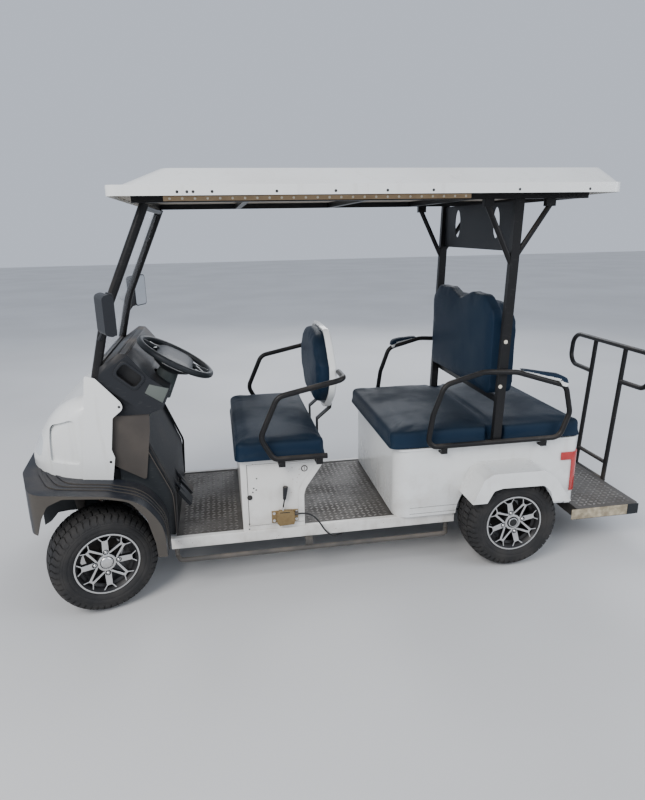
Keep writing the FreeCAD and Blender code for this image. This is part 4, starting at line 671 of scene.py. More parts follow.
def drawn_bar(name, kind, path, radius, roundness):
    """A round bar as a curve with one spline along a path."""
    curve = bpy.data.curves.new(name, "CURVE")
    curve.dimensions = "3D"
    curve.bevel_depth, curve.bevel_resolution, curve.use_fill_caps = radius, roundness, True
    spline = curve.splines.new(kind)
    spline.points.add(len(path) - 1)
    for point, place in zip(spline.points, path):
        point.co = (*place, 1)
    return curve, spline


def bent_bar(points, radius, material, steps=6):
    """A round bar along straight runs through rows of (point, bend radius)."""
    path = []
    for i, (place, bend) in enumerate(points):
        place = Vector(place)
        if bend == 0 or i in (0, len(points) - 1):
            path.append(place)
            continue
        back = (Vector(points[i - 1][0]) - place).normalized()
        on = (Vector(points[i + 1][0]) - place).normalized()
        half = back.angle(on) / 2
        reach, centre = bend / math.tan(half), place + (back + on).normalized() * bend / math.sin(half)
        first, last = place + back * reach - centre, place + on * reach - centre
        for step in range(steps + 1):
            path.append(centre + first.slerp(last, step / steps) * bend)
    curve, _ = drawn_bar("bar", "POLY", path, radius, 6)
    return smooth(painted(read_back(placed("bar", curve)), material), 50)


# %% [markdown]
# ## A tree that repeats
# Spokes, tread blocks, wheel nuts and bolt heads all come in circles or rows. Copying meshes in
# Python would do, but a Geometry Nodes tree is the tool for it: it takes one mesh, puts it on
# points, and its Count can be changed later. The first tree turns copies about the Y axis,
# which is a wheel's own axis here. Faces that look outwards get a material of their own,
# because a machined wheel is bright on its face and black in its pockets.


# %% Trees for repeats
def finish_tree(recipe, instances, material, faces=None, facing=None):
    """Realizes the instances and sets the materials, as the end of every tree."""
    real = recipe.node("GeometryNodeRealizeInstances", values={"Geometry": instances})
    real = recipe.node("GeometryNodeSetMaterial", values={"Geometry": real, "Material": material})
    if faces:
        normal = recipe.node("GeometryNodeInputNormal", out="Normal")
        outward = recipe.node("ShaderNodeSeparateXYZ", values={0: normal}, out=1) > facing
        real = recipe.node("GeometryNodeSetMaterial",
                           values={"Geometry": real, "Selection": outward, "Material": faces})
    recipe.node("NodeGroupOutput", values={"Geometry": real})
    return recipe.tree


polar = Tree("repeat_round_axle", Count="Int", Start="Float", Sides="Material", Faces="Material",
             Facing="Float")
polar_points = polar.node("GeometryNodePoints", values={"Count": polar["Count"]})
polar_index = polar.node("GeometryNodeInputIndex")
polar_angle = polar_index * math.tau / polar["Count"] + polar["Start"]
polar_turn = polar.node("FunctionNodeEulerToRotation",
                        values={0: polar.node("ShaderNodeCombineXYZ", values={1: polar_angle})})
polar_copies = polar.node("GeometryNodeInstanceOnPoints",
                          values={"Points": polar_points, "Instance": polar["Geometry"],
                                  "Rotation": polar_turn})
REPEAT_ROUND = finish_tree(polar, polar_copies, polar["Sides"], polar["Faces"],
                           polar["Facing"])


def grown(mesh, tree, **inputs):
    """The plain mesh that a tree makes of a mesh, its inputs given by name."""
    holder = placed("holder", mesh)
    modifier = holder.modifiers.new("tree", "NODES")
    modifier.node_group = tree
    for item in tree.interface.items_tree:
        if item.in_out == "INPUT" and item.name in inputs:
            modifier[item.identifier] = inputs[item.name]
    holder.update_tag()
    return read_back(holder)


def round_axle(mesh, count, start=0.0, faces=None, facing=0.97):
    """Copies round the axle; faces that look outwards may get a finish of their own."""
    sides = mesh.materials[0]
    return grown(mesh, REPEAT_ROUND, Count=count, Start=math.radians(start), Sides=sides,
                 Faces=faces or sides, Facing=facing)

# %% [markdown]
# ## The wheels
# A ten inch class alloy wheel: a barrel, a face of four solid and four split spokes whose tips
# fork out to the lip, nuts in dark wells and a cap. The face is cut bright on a lathe, and
# everything lower stays black. Each spoke is a flat outline, extruded and sheared so that it
# dishes in towards the hub; the tree then turns it round the axle.

# %% Wheel sizes
FACE_OUT = 0.081
SPOKE_DEPTH = 0.020
DISH = 0.104
SPOKE_TIP = 0.130
FORK = [(0.0125, 0.103), (0.031, 0.1275), (0.0265, 0.130), (0.0095, 0.1075), (0, 0.106)]
SOLID_SPOKE = [(0.0145, 0.030)] + FORK
SPLIT_LEG = [(0.0245, 0.040)] + FORK + [(0, 0.097), (0.0035, 0.094), (0.0155, 0.040)]
NUT_CIRCLE = 0.050
WELL_RADIUS = 0.0118
CUT_FACING = 0.8


def mirror_outline(half):
    """A whole outline from its right half, for one that is symmetric about x = 0."""
    left = [(-x, z) for x, z in reversed(half) if x > 0]
    return half + left


def spoke(outline):
    """A spoke from its outline of (x, height), on the +Z side of the axle."""
    mesh = prism(outline, FACE_OUT - SPOKE_DEPTH, FACE_OUT, black_pockets)
    shear = Matrix.Identity(4)
    shear[1][2], shear[1][3] = DISH, -DISH * SPOKE_TIP
    return moved(mesh, shear)


def drilled(mesh, drill):
    """The mesh with a drill mesh taken out of it."""
    tool = placed("drill", drill)
    result = evaluated(mesh, ("BOOLEAN", {"operation": "DIFFERENCE", "object": tool, "solver": "EXACT"}))
    bpy.data.objects.remove(tool)
    return result


# %% Wheel face
well = rod((0, 0.058, NUT_CIRCLE), (0, 0.095, NUT_CIRCLE), WELL_RADIUS, black_pockets, steps=32)
solid_spoke = bevelled(drilled(spoke(mirror_outline(SOLID_SPOKE)), well), 0.0012)
left_leg = [(-x, z) for x, z in reversed(SPLIT_LEG)]
split_spoke = bevelled(joined("legs", [spoke(SPLIT_LEG), spoke(left_leg)]), 0.0012)
wheel_nut = joined("nut", [
    rod((0, 0.060, NUT_CIRCLE), (0, 0.0735, NUT_CIRCLE), 0.0088, bright_metal, steps=6, bevel=0.0008),
    rod((0, 0.0735, NUT_CIRCLE), (0, 0.0775, NUT_CIRCLE), 0.0066, bright_metal, 0.0035, steps=20)])
spokes = [round_axle(solid_spoke, 4, 0, machined_alloy, CUT_FACING),
          round_axle(split_spoke, 4, 45, machined_alloy, CUT_FACING), round_axle(wheel_nut, 4)]
barrel = lathe([(-0.088, 0.110), (-0.088, 0.1385), (-0.082, 0.139), (-0.079, 0.1267), (0.079, 0.1267),
                (0.082, 0.1385), (0.0865, 0.1385), (0.0865, 0.132), (0.074, 0.120), (0.062, 0.117),
                (0.056, 0.106), (-0.078, 0.106)], black_pockets)
lip = bevelled(lathe([(0.0845, 0.1315), (0.0845, 0.1388), (0.088, 0.1388), (0.088, 0.1315)], machined_alloy),
               0.001)
hub = lathe([(0.030, 0), (0.030, 0.044), (0.064, 0.044), (0.0705, 0.040), (0.0705, 0.0385), (0.066, 0.030),
             (0.066, 0)], black_pockets, closed=False)
hub_ring = bevelled(lathe([(0.066, 0.0275), (0.066, 0.0395), (0.0735, 0.0385), (0.0745, 0.029)],
                          machined_alloy), 0.0008)
DOME = [(0.066, 0.0265), (0.0745, 0.0262), (0.0775, 0.0235), (0.0790, 0.0185), (0.0805, 0.009), (0.0808, 0)]
silver_cap = lathe([(0.066, 0)] + DOME, machined_alloy, 48, closed=False)
black_cap = lathe([(0.066, 0)] + DOME, black_pockets, 48, closed=False)
cap_ring = lathe([(0.0774, 0.0232), (0.0786, 0.0228), (0.0796, 0.0190), (0.0786, 0.0186)], machined_alloy,
                 48)
face_parts = spokes + smoothed((barrel, lip, hub, hub_ring), 35)
front_rim = joined("front_rim", face_parts + [smooth(silver_cap, 35)])
rear_rim = joined("rear_rim", face_parts + smoothed((black_cap, cap_ring), 35))
print("rim", len(front_rim.polygons), "faces")

# %% [markdown]
# ## The tyres
# The tyre is a lathe form with fine ribs on its wall, as moulded tyres have. The road blocks
# are real geometry because they break the tyre's outline: one wavy shoulder block and one
# centre block on each side of a middle rib, turned many times about the axle.

# %% Tyres
TREAD_PITCHES = 46
TREAD_DEPTH = 0.0085
CROWN = [(0, 0.2300), (0.034, 0.2294), (0.062, 0.2252), (0.080, 0.2180), (0.090, 0.2090), (0.0965, 0.1965)]


def crown(y):
    """Radius of the tread surface at a distance from the tyre's middle."""
    for (low_y, low_r), (high_y, high_r) in zip(CROWN, CROWN[1:]):
        if abs(y) <= high_y:
            return low_r + (high_r - low_r) * (abs(y) - low_y) / (high_y - low_y)
    return CROWN[-1][1]


def tread_block(rows, depth):
    """A block from rows (y, left angle, right angle) in degrees, standing on the casing."""
    work = bmesh.new()
    tops, feet = [], []
    for y, left, right in rows:
        top_row, foot_row = [], []
        for share in (0, 0.5, 1):
            angle = math.radians(left + (right - left) * share)
            for row, radius in ((top_row, crown(y)), (foot_row, crown(y) - depth)):
                row.append(work.verts.new((radius * math.sin(angle), y, radius * math.cos(angle))))
        tops.append(top_row)
        feet.append(foot_row)
    for k in range(len(rows) - 1):
        for c in range(2):
            work.faces.new((tops[k][c], tops[k][c + 1], tops[k + 1][c + 1], tops[k + 1][c]))
            work.faces.new((feet[k][c], feet[k + 1][c], feet[k + 1][c + 1], feet[k][c + 1]))
        for c in (0, 2):
            work.faces.new((tops[k][c], tops[k + 1][c], feet[k + 1][c], feet[k][c]))
    for k in (0, len(rows) - 1):
        for c in range(2):
            work.faces.new((tops[k][c], tops[k][c + 1], feet[k][c + 1], feet[k][c]))
    return from_bmesh(work, tyre_rubber)


SHOULDER = [(0.060, -1.3, 4.6), (0.068, -2.4, 3.6), (0.076, -2.7, 3.3), (0.084, -1.8, 4.0),
            (0.090, -1.2, 4.6), (0.0965, -1.6, 4.0)]
MIDDLE = [(0.010, -3.0, 3.2), (0.022, -1.9, 4.3), (0.036, -2.9, 3.3), (0.054, -2.1, 4.1)]
casing_half = [(0, 0.2225), (0.058, 0.2190), (0.080, 0.2115), (0.091, 0.2010), (0.0975, 0.1880),
               (0.0992, 0.1840), (0.0984, 0.1825), (0.0996, 0.1810), (0.1000, 0.1710), (0.0990, 0.1640),
               (0.0978, 0.1630), (0.0985, 0.1615), (0.0968, 0.1530), (0.0935, 0.1470), (0.0895, 0.1420),
               (0.0865, 0.1405), (0.0790, 0.1405), (0.0790, 0.1272)]
casing = lathe(casing_half + [(-y, r) for y, r in reversed(casing_half[1:])], tyre_rubber, 128)
shoulder_block = tread_block(SHOULDER, TREAD_DEPTH)
middle_block = tread_block(MIDDLE, TREAD_DEPTH)
far_side = Matrix.Rotation(math.pi, 4, "Z")
middle_rib = lathe([(-0.006, 0.219), (-0.006, 0.230), (0.006, 0.230), (0.006, 0.219)], tyre_rubber, 128)
tread = [round_axle(shoulder_block, TREAD_PITCHES), round_axle(middle_block, TREAD_PITCHES, 3),
         moved(round_axle(shoulder_block, TREAD_PITCHES, 4.5), far_side),
         moved(round_axle(middle_block, TREAD_PITCHES, 1.5), far_side)]
tyre = joined("tyre", [smooth(casing, 60), smooth(middle_rib, 30)] + tread)
print("tyre", len(tyre.polygons), "faces")

# %% [markdown]
# ## Wheels on their axles
# Tyre and rim stand where the wheel's own joint has its axle, so that they steer and roll with
# it. Each wheel is turned by another angle, because real ones never stop in step.

# %% Wheels in place
joints = {joint["name"]: joint for joint in frame["record"]["behaviour"]["joints"]}


def wheel_place(joint, outward, spin):
    """Where a wheel stands: +Y of its own mesh points out along the axle."""
    axle = Vector(joint["axis"]).normalized() * outward
    ahead_of = axle.cross(Vector((0, 0, 1)))
    turn = Matrix((ahead_of, axle, Vector((0, 0, 1)))).transposed().to_4x4()
    return Matrix.Translation(joint["pos_m"]) @ turn @ Matrix.Rotation(math.radians(spin), 4, "Y")


WHEELS = [("front_left", 1, 0, front_rim), ("front_right", -1, 25, front_rim),
          ("rear_left", 1, 14, rear_rim), ("rear_right", -1, 60, rear_rim)]
for name, outward, spin, rim in WHEELS:
    place = wheel_place(joints["roll_" + name], outward, spin)
    piece("treaded_tyre_" + name, moved(tyre.copy(), place), "wheel_" + name, "tyre_rubber", "tyre_" + name)
    piece("cut_rim_" + name, moved(rim.copy(), place), "wheel_" + name, "alloy", "rim_" + name)

# %% [markdown]
# ## The cushions
# A seat is foam under tight vinyl: it crowns, its edges are round, and its sides pull in. Each
# starts as a copy of its plain CAD solid, a little smaller, which is remeshed and blown up as
# cloth under pressure with its underside pinned where it rests. A cap on how far a point may
# move keeps the swelling to what tight vinyl over firm foam shows.

# %% Soft forms by cloth
CLOTH_FRAMES = 20
PRESSURE = 4.0


def cad_copy(*nodes):
    """CAD solids as one welded form to work on."""
    work = bmesh.new()
    for node in nodes:
        work.from_mesh(frame["nodes"][node].data)
    bmesh.ops.remove_doubles(work, verts=work.verts, dist=1e-5)
    return work


def plain_copy(node, material):
    """A CAD piece's own mesh, welded and painted."""
    return as_mesh(cad_copy(node), material)


def blown(work, voxel, shrink, cap, pinned):
    """A closed form remeshed and blown up; pinned(point) says which points stay."""
    mesh = bpy.data.meshes.new("soft")
    work.to_mesh(mesh)
    work.free()
    mesh = evaluated(mesh, ("REMESH", {"mode": "VOXEL", "voxel_size": voxel}),
                     ("DISPLACE", {"strength": -shrink, "mid_level": 0.0}))
    start = [v.co.copy() for v in mesh.vertices]
    holder = placed("soft", mesh)
    resting = holder.vertex_groups.new(name="resting")
    resting.add([v.index for v in mesh.vertices if pinned(v.co)], 1.0, "REPLACE")
    cloth = holder.modifiers.new("Cloth", "CLOTH")
    cloth.settings.use_pressure = True
    cloth.settings.uniform_pressure_force = PRESSURE
    cloth.settings.effector_weights.gravity = 0
    cloth.settings.vertex_group_mass = "resting"
    cloth.point_cache.frame_end = CLOTH_FRAMES
    scene = bpy.context.scene
    for step in range(1, CLOTH_FRAMES + 1):
        scene.frame_set(step)
    result = read_back(holder)
    scene.frame_set(1)
    for vertex, old in zip(result.vertices, start):
        step = vertex.co - old
        vertex.co = old + step * min(1.0, cap / max(step.length, 1e-9))
    return result


def soften(mesh, passes=3):
    """Rubs out the voxel steps and rounds the form with one subdivision."""
    return evaluated(mesh, ("SMOOTH", {"factor": 0.5, "iterations": passes}),
                     ("SUBSURF", {"levels": 1, "render_levels": 1}))


def cushion(name, nodes, voxel, shrink, cap, pinned, foot=None):
    """A vinyl piece in place of CAD solids, cut level at foot if one is given."""
    work = cad_copy(*nodes)
    if foot:
        whole = work.verts[:] + work.edges[:] + work.faces[:]
        bmesh.ops.bisect_plane(work, geom=whole, plane_co=(0, 0, foot), plane_no=(0, 0, 1), clear_inner=True)
        bmesh.ops.holes_fill(work, edges=[edge for edge in work.edges if edge.is_boundary])
    form = soften(blown(work, voxel, shrink, cap, pinned))
    made = piece(name, smooth(painted(form, navy_vinyl), 80), "cart_body", "navy_vinyl", *nodes)
    return made


# %% Seat and backrest forms
SEAT_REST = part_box("front_cushion")[0][2] + 0.010
BACKREST_FOOT = 0.822
cushion("front_seat_vinyl", ["front_cushion"], 0.009, 0.004, 0.010, lambda p: p.z < SEAT_REST)
cushion("rear_seat_vinyl", ["rear_cushions"], 0.010, 0.004, 0.010, lambda p: p.z < SEAT_REST)
front_back = cushion("front_backrest_vinyl", ["front_backrest"], 0.008, 0.003, 0.012, lambda p: False)
cushion("rear_backrest_vinyl", ["rear_backrests"], 0.009, 0.003, 0.010, lambda p: False,
        BACKREST_FOOT)
cushion("arm_pad_vinyl", ["arm_pads"], 0.004, 0.001, 0.003, lambda p: False)

# %% [markdown]
# ## Outlines of the backrests and pads
# The front backrest is an egg when it is seen from the front. Cushion and shell are both put
# through one rule that lowers their tops, so they keep fitting each other. The arm pads have a
# navy top on a white base, and their faces are sorted by height.

# %% Rounder top of the front backrest
ROUND_FROM = 0.93
_, BACK_HALF, BACK_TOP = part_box("front_back_shell")[1]
MIDDLE_DROP, CORNER_DROP = 0.026, 0.110


def rounded_top(mesh):
    """Lowers the top of the backrest, the corners most, to the outline of an egg."""
    for vertex in mesh.vertices:
        share = min(1.0, max(0.0, (vertex.co.z - ROUND_FROM) / (BACK_TOP - ROUND_FROM)))
        drop = MIDDLE_DROP + CORNER_DROP * (vertex.co.y / BACK_HALF) ** 2
        vertex.co.z -= share * share * (3 - 2 * share) * drop
    return mesh


rounded_top(front_back.data)
shell = rounded_top(plain_copy("front_back_shell", white_body))
piece("front_backrest_cover", smooth(shell, 30), "cart_body", "white_body", "front_back_shell")

# %% White undersides of the arm pads
PAD_BIN, WHITE_SHARE, SIDE_PADS = 0.01, 0.42, 0.30
pad_mesh = bpy.data.objects["arm_pad_vinyl"].data
pad_mesh.materials.append(white_body)
pad_heights = {}
for vertex in pad_mesh.vertices:
    place = (vertex.co.y > 0, round(vertex.co.x / PAD_BIN))
    pad_heights.setdefault(place, []).append(vertex.co.z)
for face in pad_mesh.polygons:
    heights = pad_heights[face.center.y > 0, round(face.center.x / PAD_BIN)]
    base = min(heights) + (max(heights) - min(heights)) * WHITE_SHARE
    if face.center.z < base and abs(face.center.y) > SIDE_PADS:
        face.material_index = 1
print(sum(face.material_index for face in pad_mesh.polygons), "white faces under the arm pads")

# %% [markdown]
# ## The brake cable
# A thin black cable leaves the hand lever's bracket, dips over the sill and runs along under
# the body to the rear axle. Both its ends are held, and a stiff cable bends evenly, so a NURBS
# curve through a short list of control points describes it better than straight runs would.

# %% Brake cable
MID_WHEELBASE = 0.23615
CABLE_DIAMETER = 0.008
CABLE_ROUTE = [  # x from the middle of the wheelbase, y, z
    (0.0677, 0.416, 0.323), (0.032, 0.416, 0.323), (-0.004, 0.421, 0.306), (-0.032, 0.424, 0.270),
    (-0.054, 0.424, 0.228), (-0.086, 0.418, 0.194), (-0.128, 0.394, 0.180), (-0.184, 0.354, 0.184),
    (-0.258, 0.324, 0.190), (-0.350, 0.306, 0.188), (-0.450, 0.302, 0.186), (-0.550, 0.300, 0.188),
    (-0.650, 0.306, 0.196), (-0.740, 0.316, 0.212), (-0.810, 0.326, 0.228), (-0.864, 0.330, 0.236),
    (-0.900, 0.344, 0.238), (-0.914, 0.368, 0.238), (-0.914, 0.3917, 0.238)]
cable_route = [Vector((x + MID_WHEELBASE, y, z)) for x, y, z in CABLE_ROUTE]
cable_curve, cable_spline = drawn_bar("brake_cable", "NURBS", cable_route, CABLE_DIAMETER / 2, 4)
cable_curve.resolution_u = 8
cable_spline.order_u, cable_spline.use_endpoint_u = 3, True
cable_curve.materials.append(cable_jacket)
brake_cable = placed("brake_cable", cable_curve)
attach(brake_cable, "cart_body")
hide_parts("lever_cable")
tuple(cable_route[0])
print("brake cable", round(cable_spline.calc_length(), 3), "m")

# %% [markdown]
# ## Fasteners
# Screw heads, nuts and small holes are all the same thing at different sizes: a round or
# six-sided head on a washer, at a point, facing some way. One Geometry Nodes tree makes them
# all: the points come in as loose vertices with an "aim" attribute that says which way each
# head faces. Drilled holes are the same heads, black and almost flat.


# %% Fastener tree
fastener = Tree("fasteners_on_points", Radius="Float", Depth="Float", Sides="Int", Washer="Float",
                Finish="Material")
head = fastener.node("GeometryNodeMeshCone", {"fill_type": "NGON"}, {
    "Vertices": fastener["Sides"], "Depth": fastener["Depth"], "Radius Top": fastener["Radius"] * 0.8,
    "Radius Bottom": fastener["Radius"]})
plate = fastener.node("GeometryNodeMeshCylinder", values={
    "Vertices": 20, "Radius": fastener["Radius"] * fastener["Washer"],
    "Depth": fastener["Depth"] * 0.5})
both = fastener.node("GeometryNodeJoinGeometry", values={"Geometry": head})
fastener.tree.links.new(plate.socket, both.socket.node.inputs["Geometry"])
aim = fastener.node("GeometryNodeInputNamedAttribute", {"data_type": "FLOAT_VECTOR"}, {"Name": "aim"})
aimed = fastener.node("FunctionNodeAlignRotationToVector", {"axis": "Z"}, {"Vector": aim})
heads = fastener.node("GeometryNodeInstanceOnPoints",
                      values={"Points": fastener["Geometry"], "Instance": both, "Rotation": aimed})
FASTENERS = finish_tree(fastener, heads, fastener["Finish"])


def fasteners(places, aim_at, finish, radius=0.005, depth=0.003, sides=6, washer=1.4):
    """Fastener heads at points, all facing one way."""
    points = bpy.data.meshes.new("points")
    points.from_pydata([tuple(place) for place in places], [], [])
    aims = points.attributes.new("aim", "FLOAT_VECTOR", "POINT")
    for item in aims.data:
        item.vector = aim_at
    made = grown(points, FASTENERS, Radius=radius, Depth=depth, Sides=sides, Washer=washer, Finish=finish)
    return smooth(painted(made, finish), 30)


def side_fasteners(places, y, *style, sides=(1, -1)):
    """Fastener heads at (x, z) on the cart's sides, 1 for the left, facing outwards."""
    return [fasteners([(x, side * y, z) for x, z in places], (0, side, 0), *style) for side in sides]

# %% [markdown]
# ## Tread plate
# The floor and the rear step are tread plate: raised lozenges in rows, each turned a quarter
# from its neighbours. They catch light one by one, which bump alone doesn't do at this size,
# so a tree puts a small tapered lozenge on every point of a grid and turns every other one.


# %% Tread plate tree
lozenge_tree = Tree("tread_lozenges", Length="Float", Width="Float", Pitch="Float", Centre="Vector",
                    Finish="Material")
pitch = lozenge_tree["Pitch"]
along = (lozenge_tree["Length"] / pitch).floor()
across = (lozenge_tree["Width"] / pitch).floor()
lozenge_grid = lozenge_tree.node("GeometryNodeMeshGrid", values={
    "Size X": (along - 1) * pitch, "Size Y": (across - 1) * pitch, "Vertices X": along,
    "Vertices Y": across})
lozenge_grid = lozenge_tree.node("GeometryNodeTransform", values={
    "Geometry": lozenge_grid, "Translation": lozenge_tree["Centre"]})
number = lozenge_tree.node("GeometryNodeInputIndex")
row = ((number + 0.5) / across).floor()
odd = (row + number - row * across) % 2.0
lozenge_turn = lozenge_tree.node("FunctionNodeEulerToRotation", values={
    0: lozenge_tree.node("ShaderNodeCombineXYZ", values={2: odd * (math.pi / 2) + math.pi / 4})})
lozenges = lozenge_tree.node("GeometryNodeInstanceOnPoints", values={
    "Points": lozenge_grid, "Instance": lozenge_tree["Geometry"], "Rotation": lozenge_turn})
TREAD_LOZENGES = finish_tree(lozenge_tree, lozenges, lozenge_tree["Finish"])


def lozenge(length, width, height):
    """One raised lozenge, a boat shape with sloping sides."""
    def row(scale, z):
        return [(x * length * scale / 2, y * width * scale / 2, z)
                for x, y in ((1, 0), (0.4, 1), (-0.4, 1), (-1, 0), (-0.4, -1), (0.4, -1))]

    work = bmesh.new()
    foot = [work.verts.new(point) for point in row(1, 0)]
    top = [work.verts.new(point) for point in row(0.62, height)]
    work.faces.new(top)
    work.faces.new(list(reversed(foot)))
    wall(work, foot, top)
    return from_bmesh(work, tread_plate)


# %% Tread plate in place
LOZENGE_PITCH = 0.027
floor_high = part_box("floor_deck")[1][2]
step_low, step_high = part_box("rear_platform")
STEP_DECK = 0.222
TREADS = [  # name, x from, x to, half width, height
    ("front_floor_treads", 0.568, 0.858, 0.372, floor_high),
    ("middle_floor_treads", -0.158, 0.262, 0.372, floor_high),
    ("rear_step_treads", step_low[0] + 0.012, -1.115, 0.440, STEP_DECK)]
raised = lozenge(0.025, 0.0090, 0.0020)
# Each lozenge takes the lighter crest colour, partly wear and partly a painted highlight.
for name, low_x, high_x, half, level in TREADS:
    made = grown(raised, TREAD_LOZENGES, Length=high_x - low_x, Width=2 * half, Pitch=LOZENGE_PITCH,
                 Centre=((low_x + high_x) / 2, 0, level - 0.0001), Finish=worn_highlit_crest)
    piece(name, painted(made, worn_highlit_crest), "cart_body", "tread_plate")

# %% [markdown]
# ## The steering wheel
# The wheel has a thick round rim, one wide pad that reaches it on the left and right, a bowl
# below the pad that hides the column, and thin bright trims. Rim and bowl are lathe forms. The
# pad is a dome on a rounded outline: its height falls with the fourth power of the distance
# from its middle, so it is nearly flat there and turns down quickly at its edge.

# %% Steering wheel
steer_joint = joints["steering_wheel_turn"]
steer_axis = Vector(steer_joint["axis"]).normalized()
twelve = Vector((steer_axis.z, 0, -steer_axis.x))
steering_place = (Matrix.Translation(steer_joint["pos_m"])
                  @ Matrix((Vector((0, 1, 0)), steer_axis, twelve)).transposed().to_4x4())
GRIP, RIM_RADIUS = 0.0145, 0.1712
PAD_LENGTH, PAD_WIDTH, PAD_ROUND = 0.160, 0.086, 3.2


def dome(length, width, power, low, edge, high, material, rings=10, steps=72):
    """A crowned pad on a rounded outline in the XZ plane, its flat foot at y = low."""
    work = bmesh.new()

    def ring(share, y):
        points = []
        for a in circle(steps):
            aside, up = abs(math.cos(a)) / length, abs(math.sin(a)) / width
            reach = share / (aside ** power + up ** power) ** (1 / power)
            points.append(work.verts.new((reach * math.cos(a), y, reach * math.sin(a))))
        return points

    rows = [ring(0.97, low), ring(1, (low + edge) / 2)]
    shares = [i / rings for i in range(rings, 0, -1)]
    rows += [ring(share, high - (high - edge) * share ** 4) for share in shares]
    for one, other in zip(rows, rows[1:]):
        wall(work, one, other)
    work.faces.new(rows[0])
    work.faces.new(rows[-1])
    return smooth(from_bmesh(work, material), 50)


def arc_trim(radius, y, start, end, thickness):
    """A thin bright bar along an arc round the wheel's axis, angles from +X."""
    turns = [math.radians(start + (end - start) * i / 16) for i in range(17)]
    return bent_bar([((radius * math.cos(a), y, radius * math.sin(a)), 0) for a in turns], thickness,
                    machined_alloy)


grip_circle = [(GRIP * math.sin(a), RIM_RADIUS + GRIP * math.cos(a)) for a in circle(20)]
rim_ring = smooth(lathe(grip_circle, wheel_plastic, 96), 60)
bowl = smooth(lathe([(-0.012, 0.104), (-0.030, 0.101), (-0.048, 0.084), (-0.062, 0.056), (-0.070, 0.042),
                     (-0.092, 0.040), (-0.092, 0)] + [(-0.010, 0), (-0.010, 0.100)], wheel_plastic, 64,
                    closed=False), 40)
pad = dome(PAD_LENGTH, PAD_WIDTH, PAD_ROUND, -0.014, 0.000, 0.0115, wheel_plastic)
TRIMS = [  # radius of the bar, then its points and their bends
    (0.0028, [((-0.048, 0.001, 0.128), 0), ((-0.014, 0.003, 0.086), 0.006), ((0.040, 0.002, 0.104), 0)]),
    (0.0030, [((-0.040, 0.002, -0.088), 0), ((0.010, 0.003, -0.100), 0.006), ((0.052, 0.001, -0.136), 0)]),
    (0.0026, [((0.010, 0.003, -0.100), 0), ((-0.028, 0.001, -0.138), 0)])]
trims = [bent_bar(points, radius, machined_alloy) for radius, points in TRIMS]
trims += [arc_trim(0.118, 0.004, 150, 205, 0.0022), arc_trim(0.1035, -0.020, -52, 40, 0.0030),
          arc_trim(0.1005, -0.032, -44, 26, 0.0022)]
FORK_FROM, FORK_REACH = 0.082, 1.9
forks = [rod((0, -0.002, z), (0, -0.001, z * FORK_REACH), 0.011, wheel_plastic, steps=20)
         for z in (FORK_FROM, -FORK_FROM)]
steering = joined("steering", [rim_ring, bowl, pad] + trims + forks)
piece("driver_steering_wheel", moved(steering, steering_place), "steering_wheel", "wheel_grip",
      "steering_wheel")

# %% [markdown]
# ## Hand lever
# A brass-coloured zinc bracket is bolted to the seat box with four screws. A lever comes out of
# its slot: a bright stem that turns dark, and a tapered black knob. The bracket's folded body
# is a prism with rounded edges, which catch light as bent sheet does.

# %% Hand lever
lever_low, lever_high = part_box("hand_lever")
face_y = lever_low[1]
BRACKET = [(0.326, 0.273), (0.394, 0.270), (0.405, 0.284), (0.405, 0.331), (0.394, 0.3465),
           (0.333, 0.3445), (0.322, 0.332), (0.322, 0.284)]
BRACKET_BOLTS = [(0.417, 0.329), (0.417, 0.293), (0.312, 0.331), (0.312, 0.292)]
FLANGE, LEVER_Y, STEM = 0.004, face_y + 0.016, 0.0034
flange = block((lever_low[0], face_y, 0.281), (lever_high[0], face_y + FLANGE, 0.341), yellow_zinc, 0.0012)
folded = bevelled(prism(BRACKET, face_y + FLANGE, face_y + 0.0235, yellow_zinc), 0.0022, 3)
slot_shadow = block((0.344, face_y + 0.0232, 0.3355), (0.390, face_y + 0.0238, 0.3395), black_pockets,
                    0.0002)
stem = [rod((0.379, LEVER_Y + 0.004, 0.318), (0.3745, LEVER_Y, 0.362), STEM, bright_metal),
        rod((0.3745, LEVER_Y, 0.361), (0.3670, LEVER_Y, 0.404), STEM, black_metal)]
knob = rod((0.3675, LEVER_Y, 0.400), (0.3605, LEVER_Y, 0.4655), 0.0072, black_plastic, 0.0126, bevel=0.0035)
gland = rod((0.322, LEVER_Y, 0.323), (0.3045, LEVER_Y, 0.323), 0.0078, black_plastic, 0.0058, bevel=0.001)
bolts = side_fasteners(BRACKET_BOLTS, face_y + 0.005, bright_metal, 0.0048, 0.004, sides=[1])
lever = joined("lever", smoothed([flange, folded, slot_shadow]) + stem + [knob, gland] + bolts)
piece("brake_lever", lever, "cart_body", "black_metal", "hand_lever")

# %% [markdown]
# ## Seat box
# The sheet metal box under the front seat has a key lock in a black ring, a rubber stop for its
# hatch and a few small drilled holes. The lock is three small forms; the holes are flat black
# heads from the fastener tree.

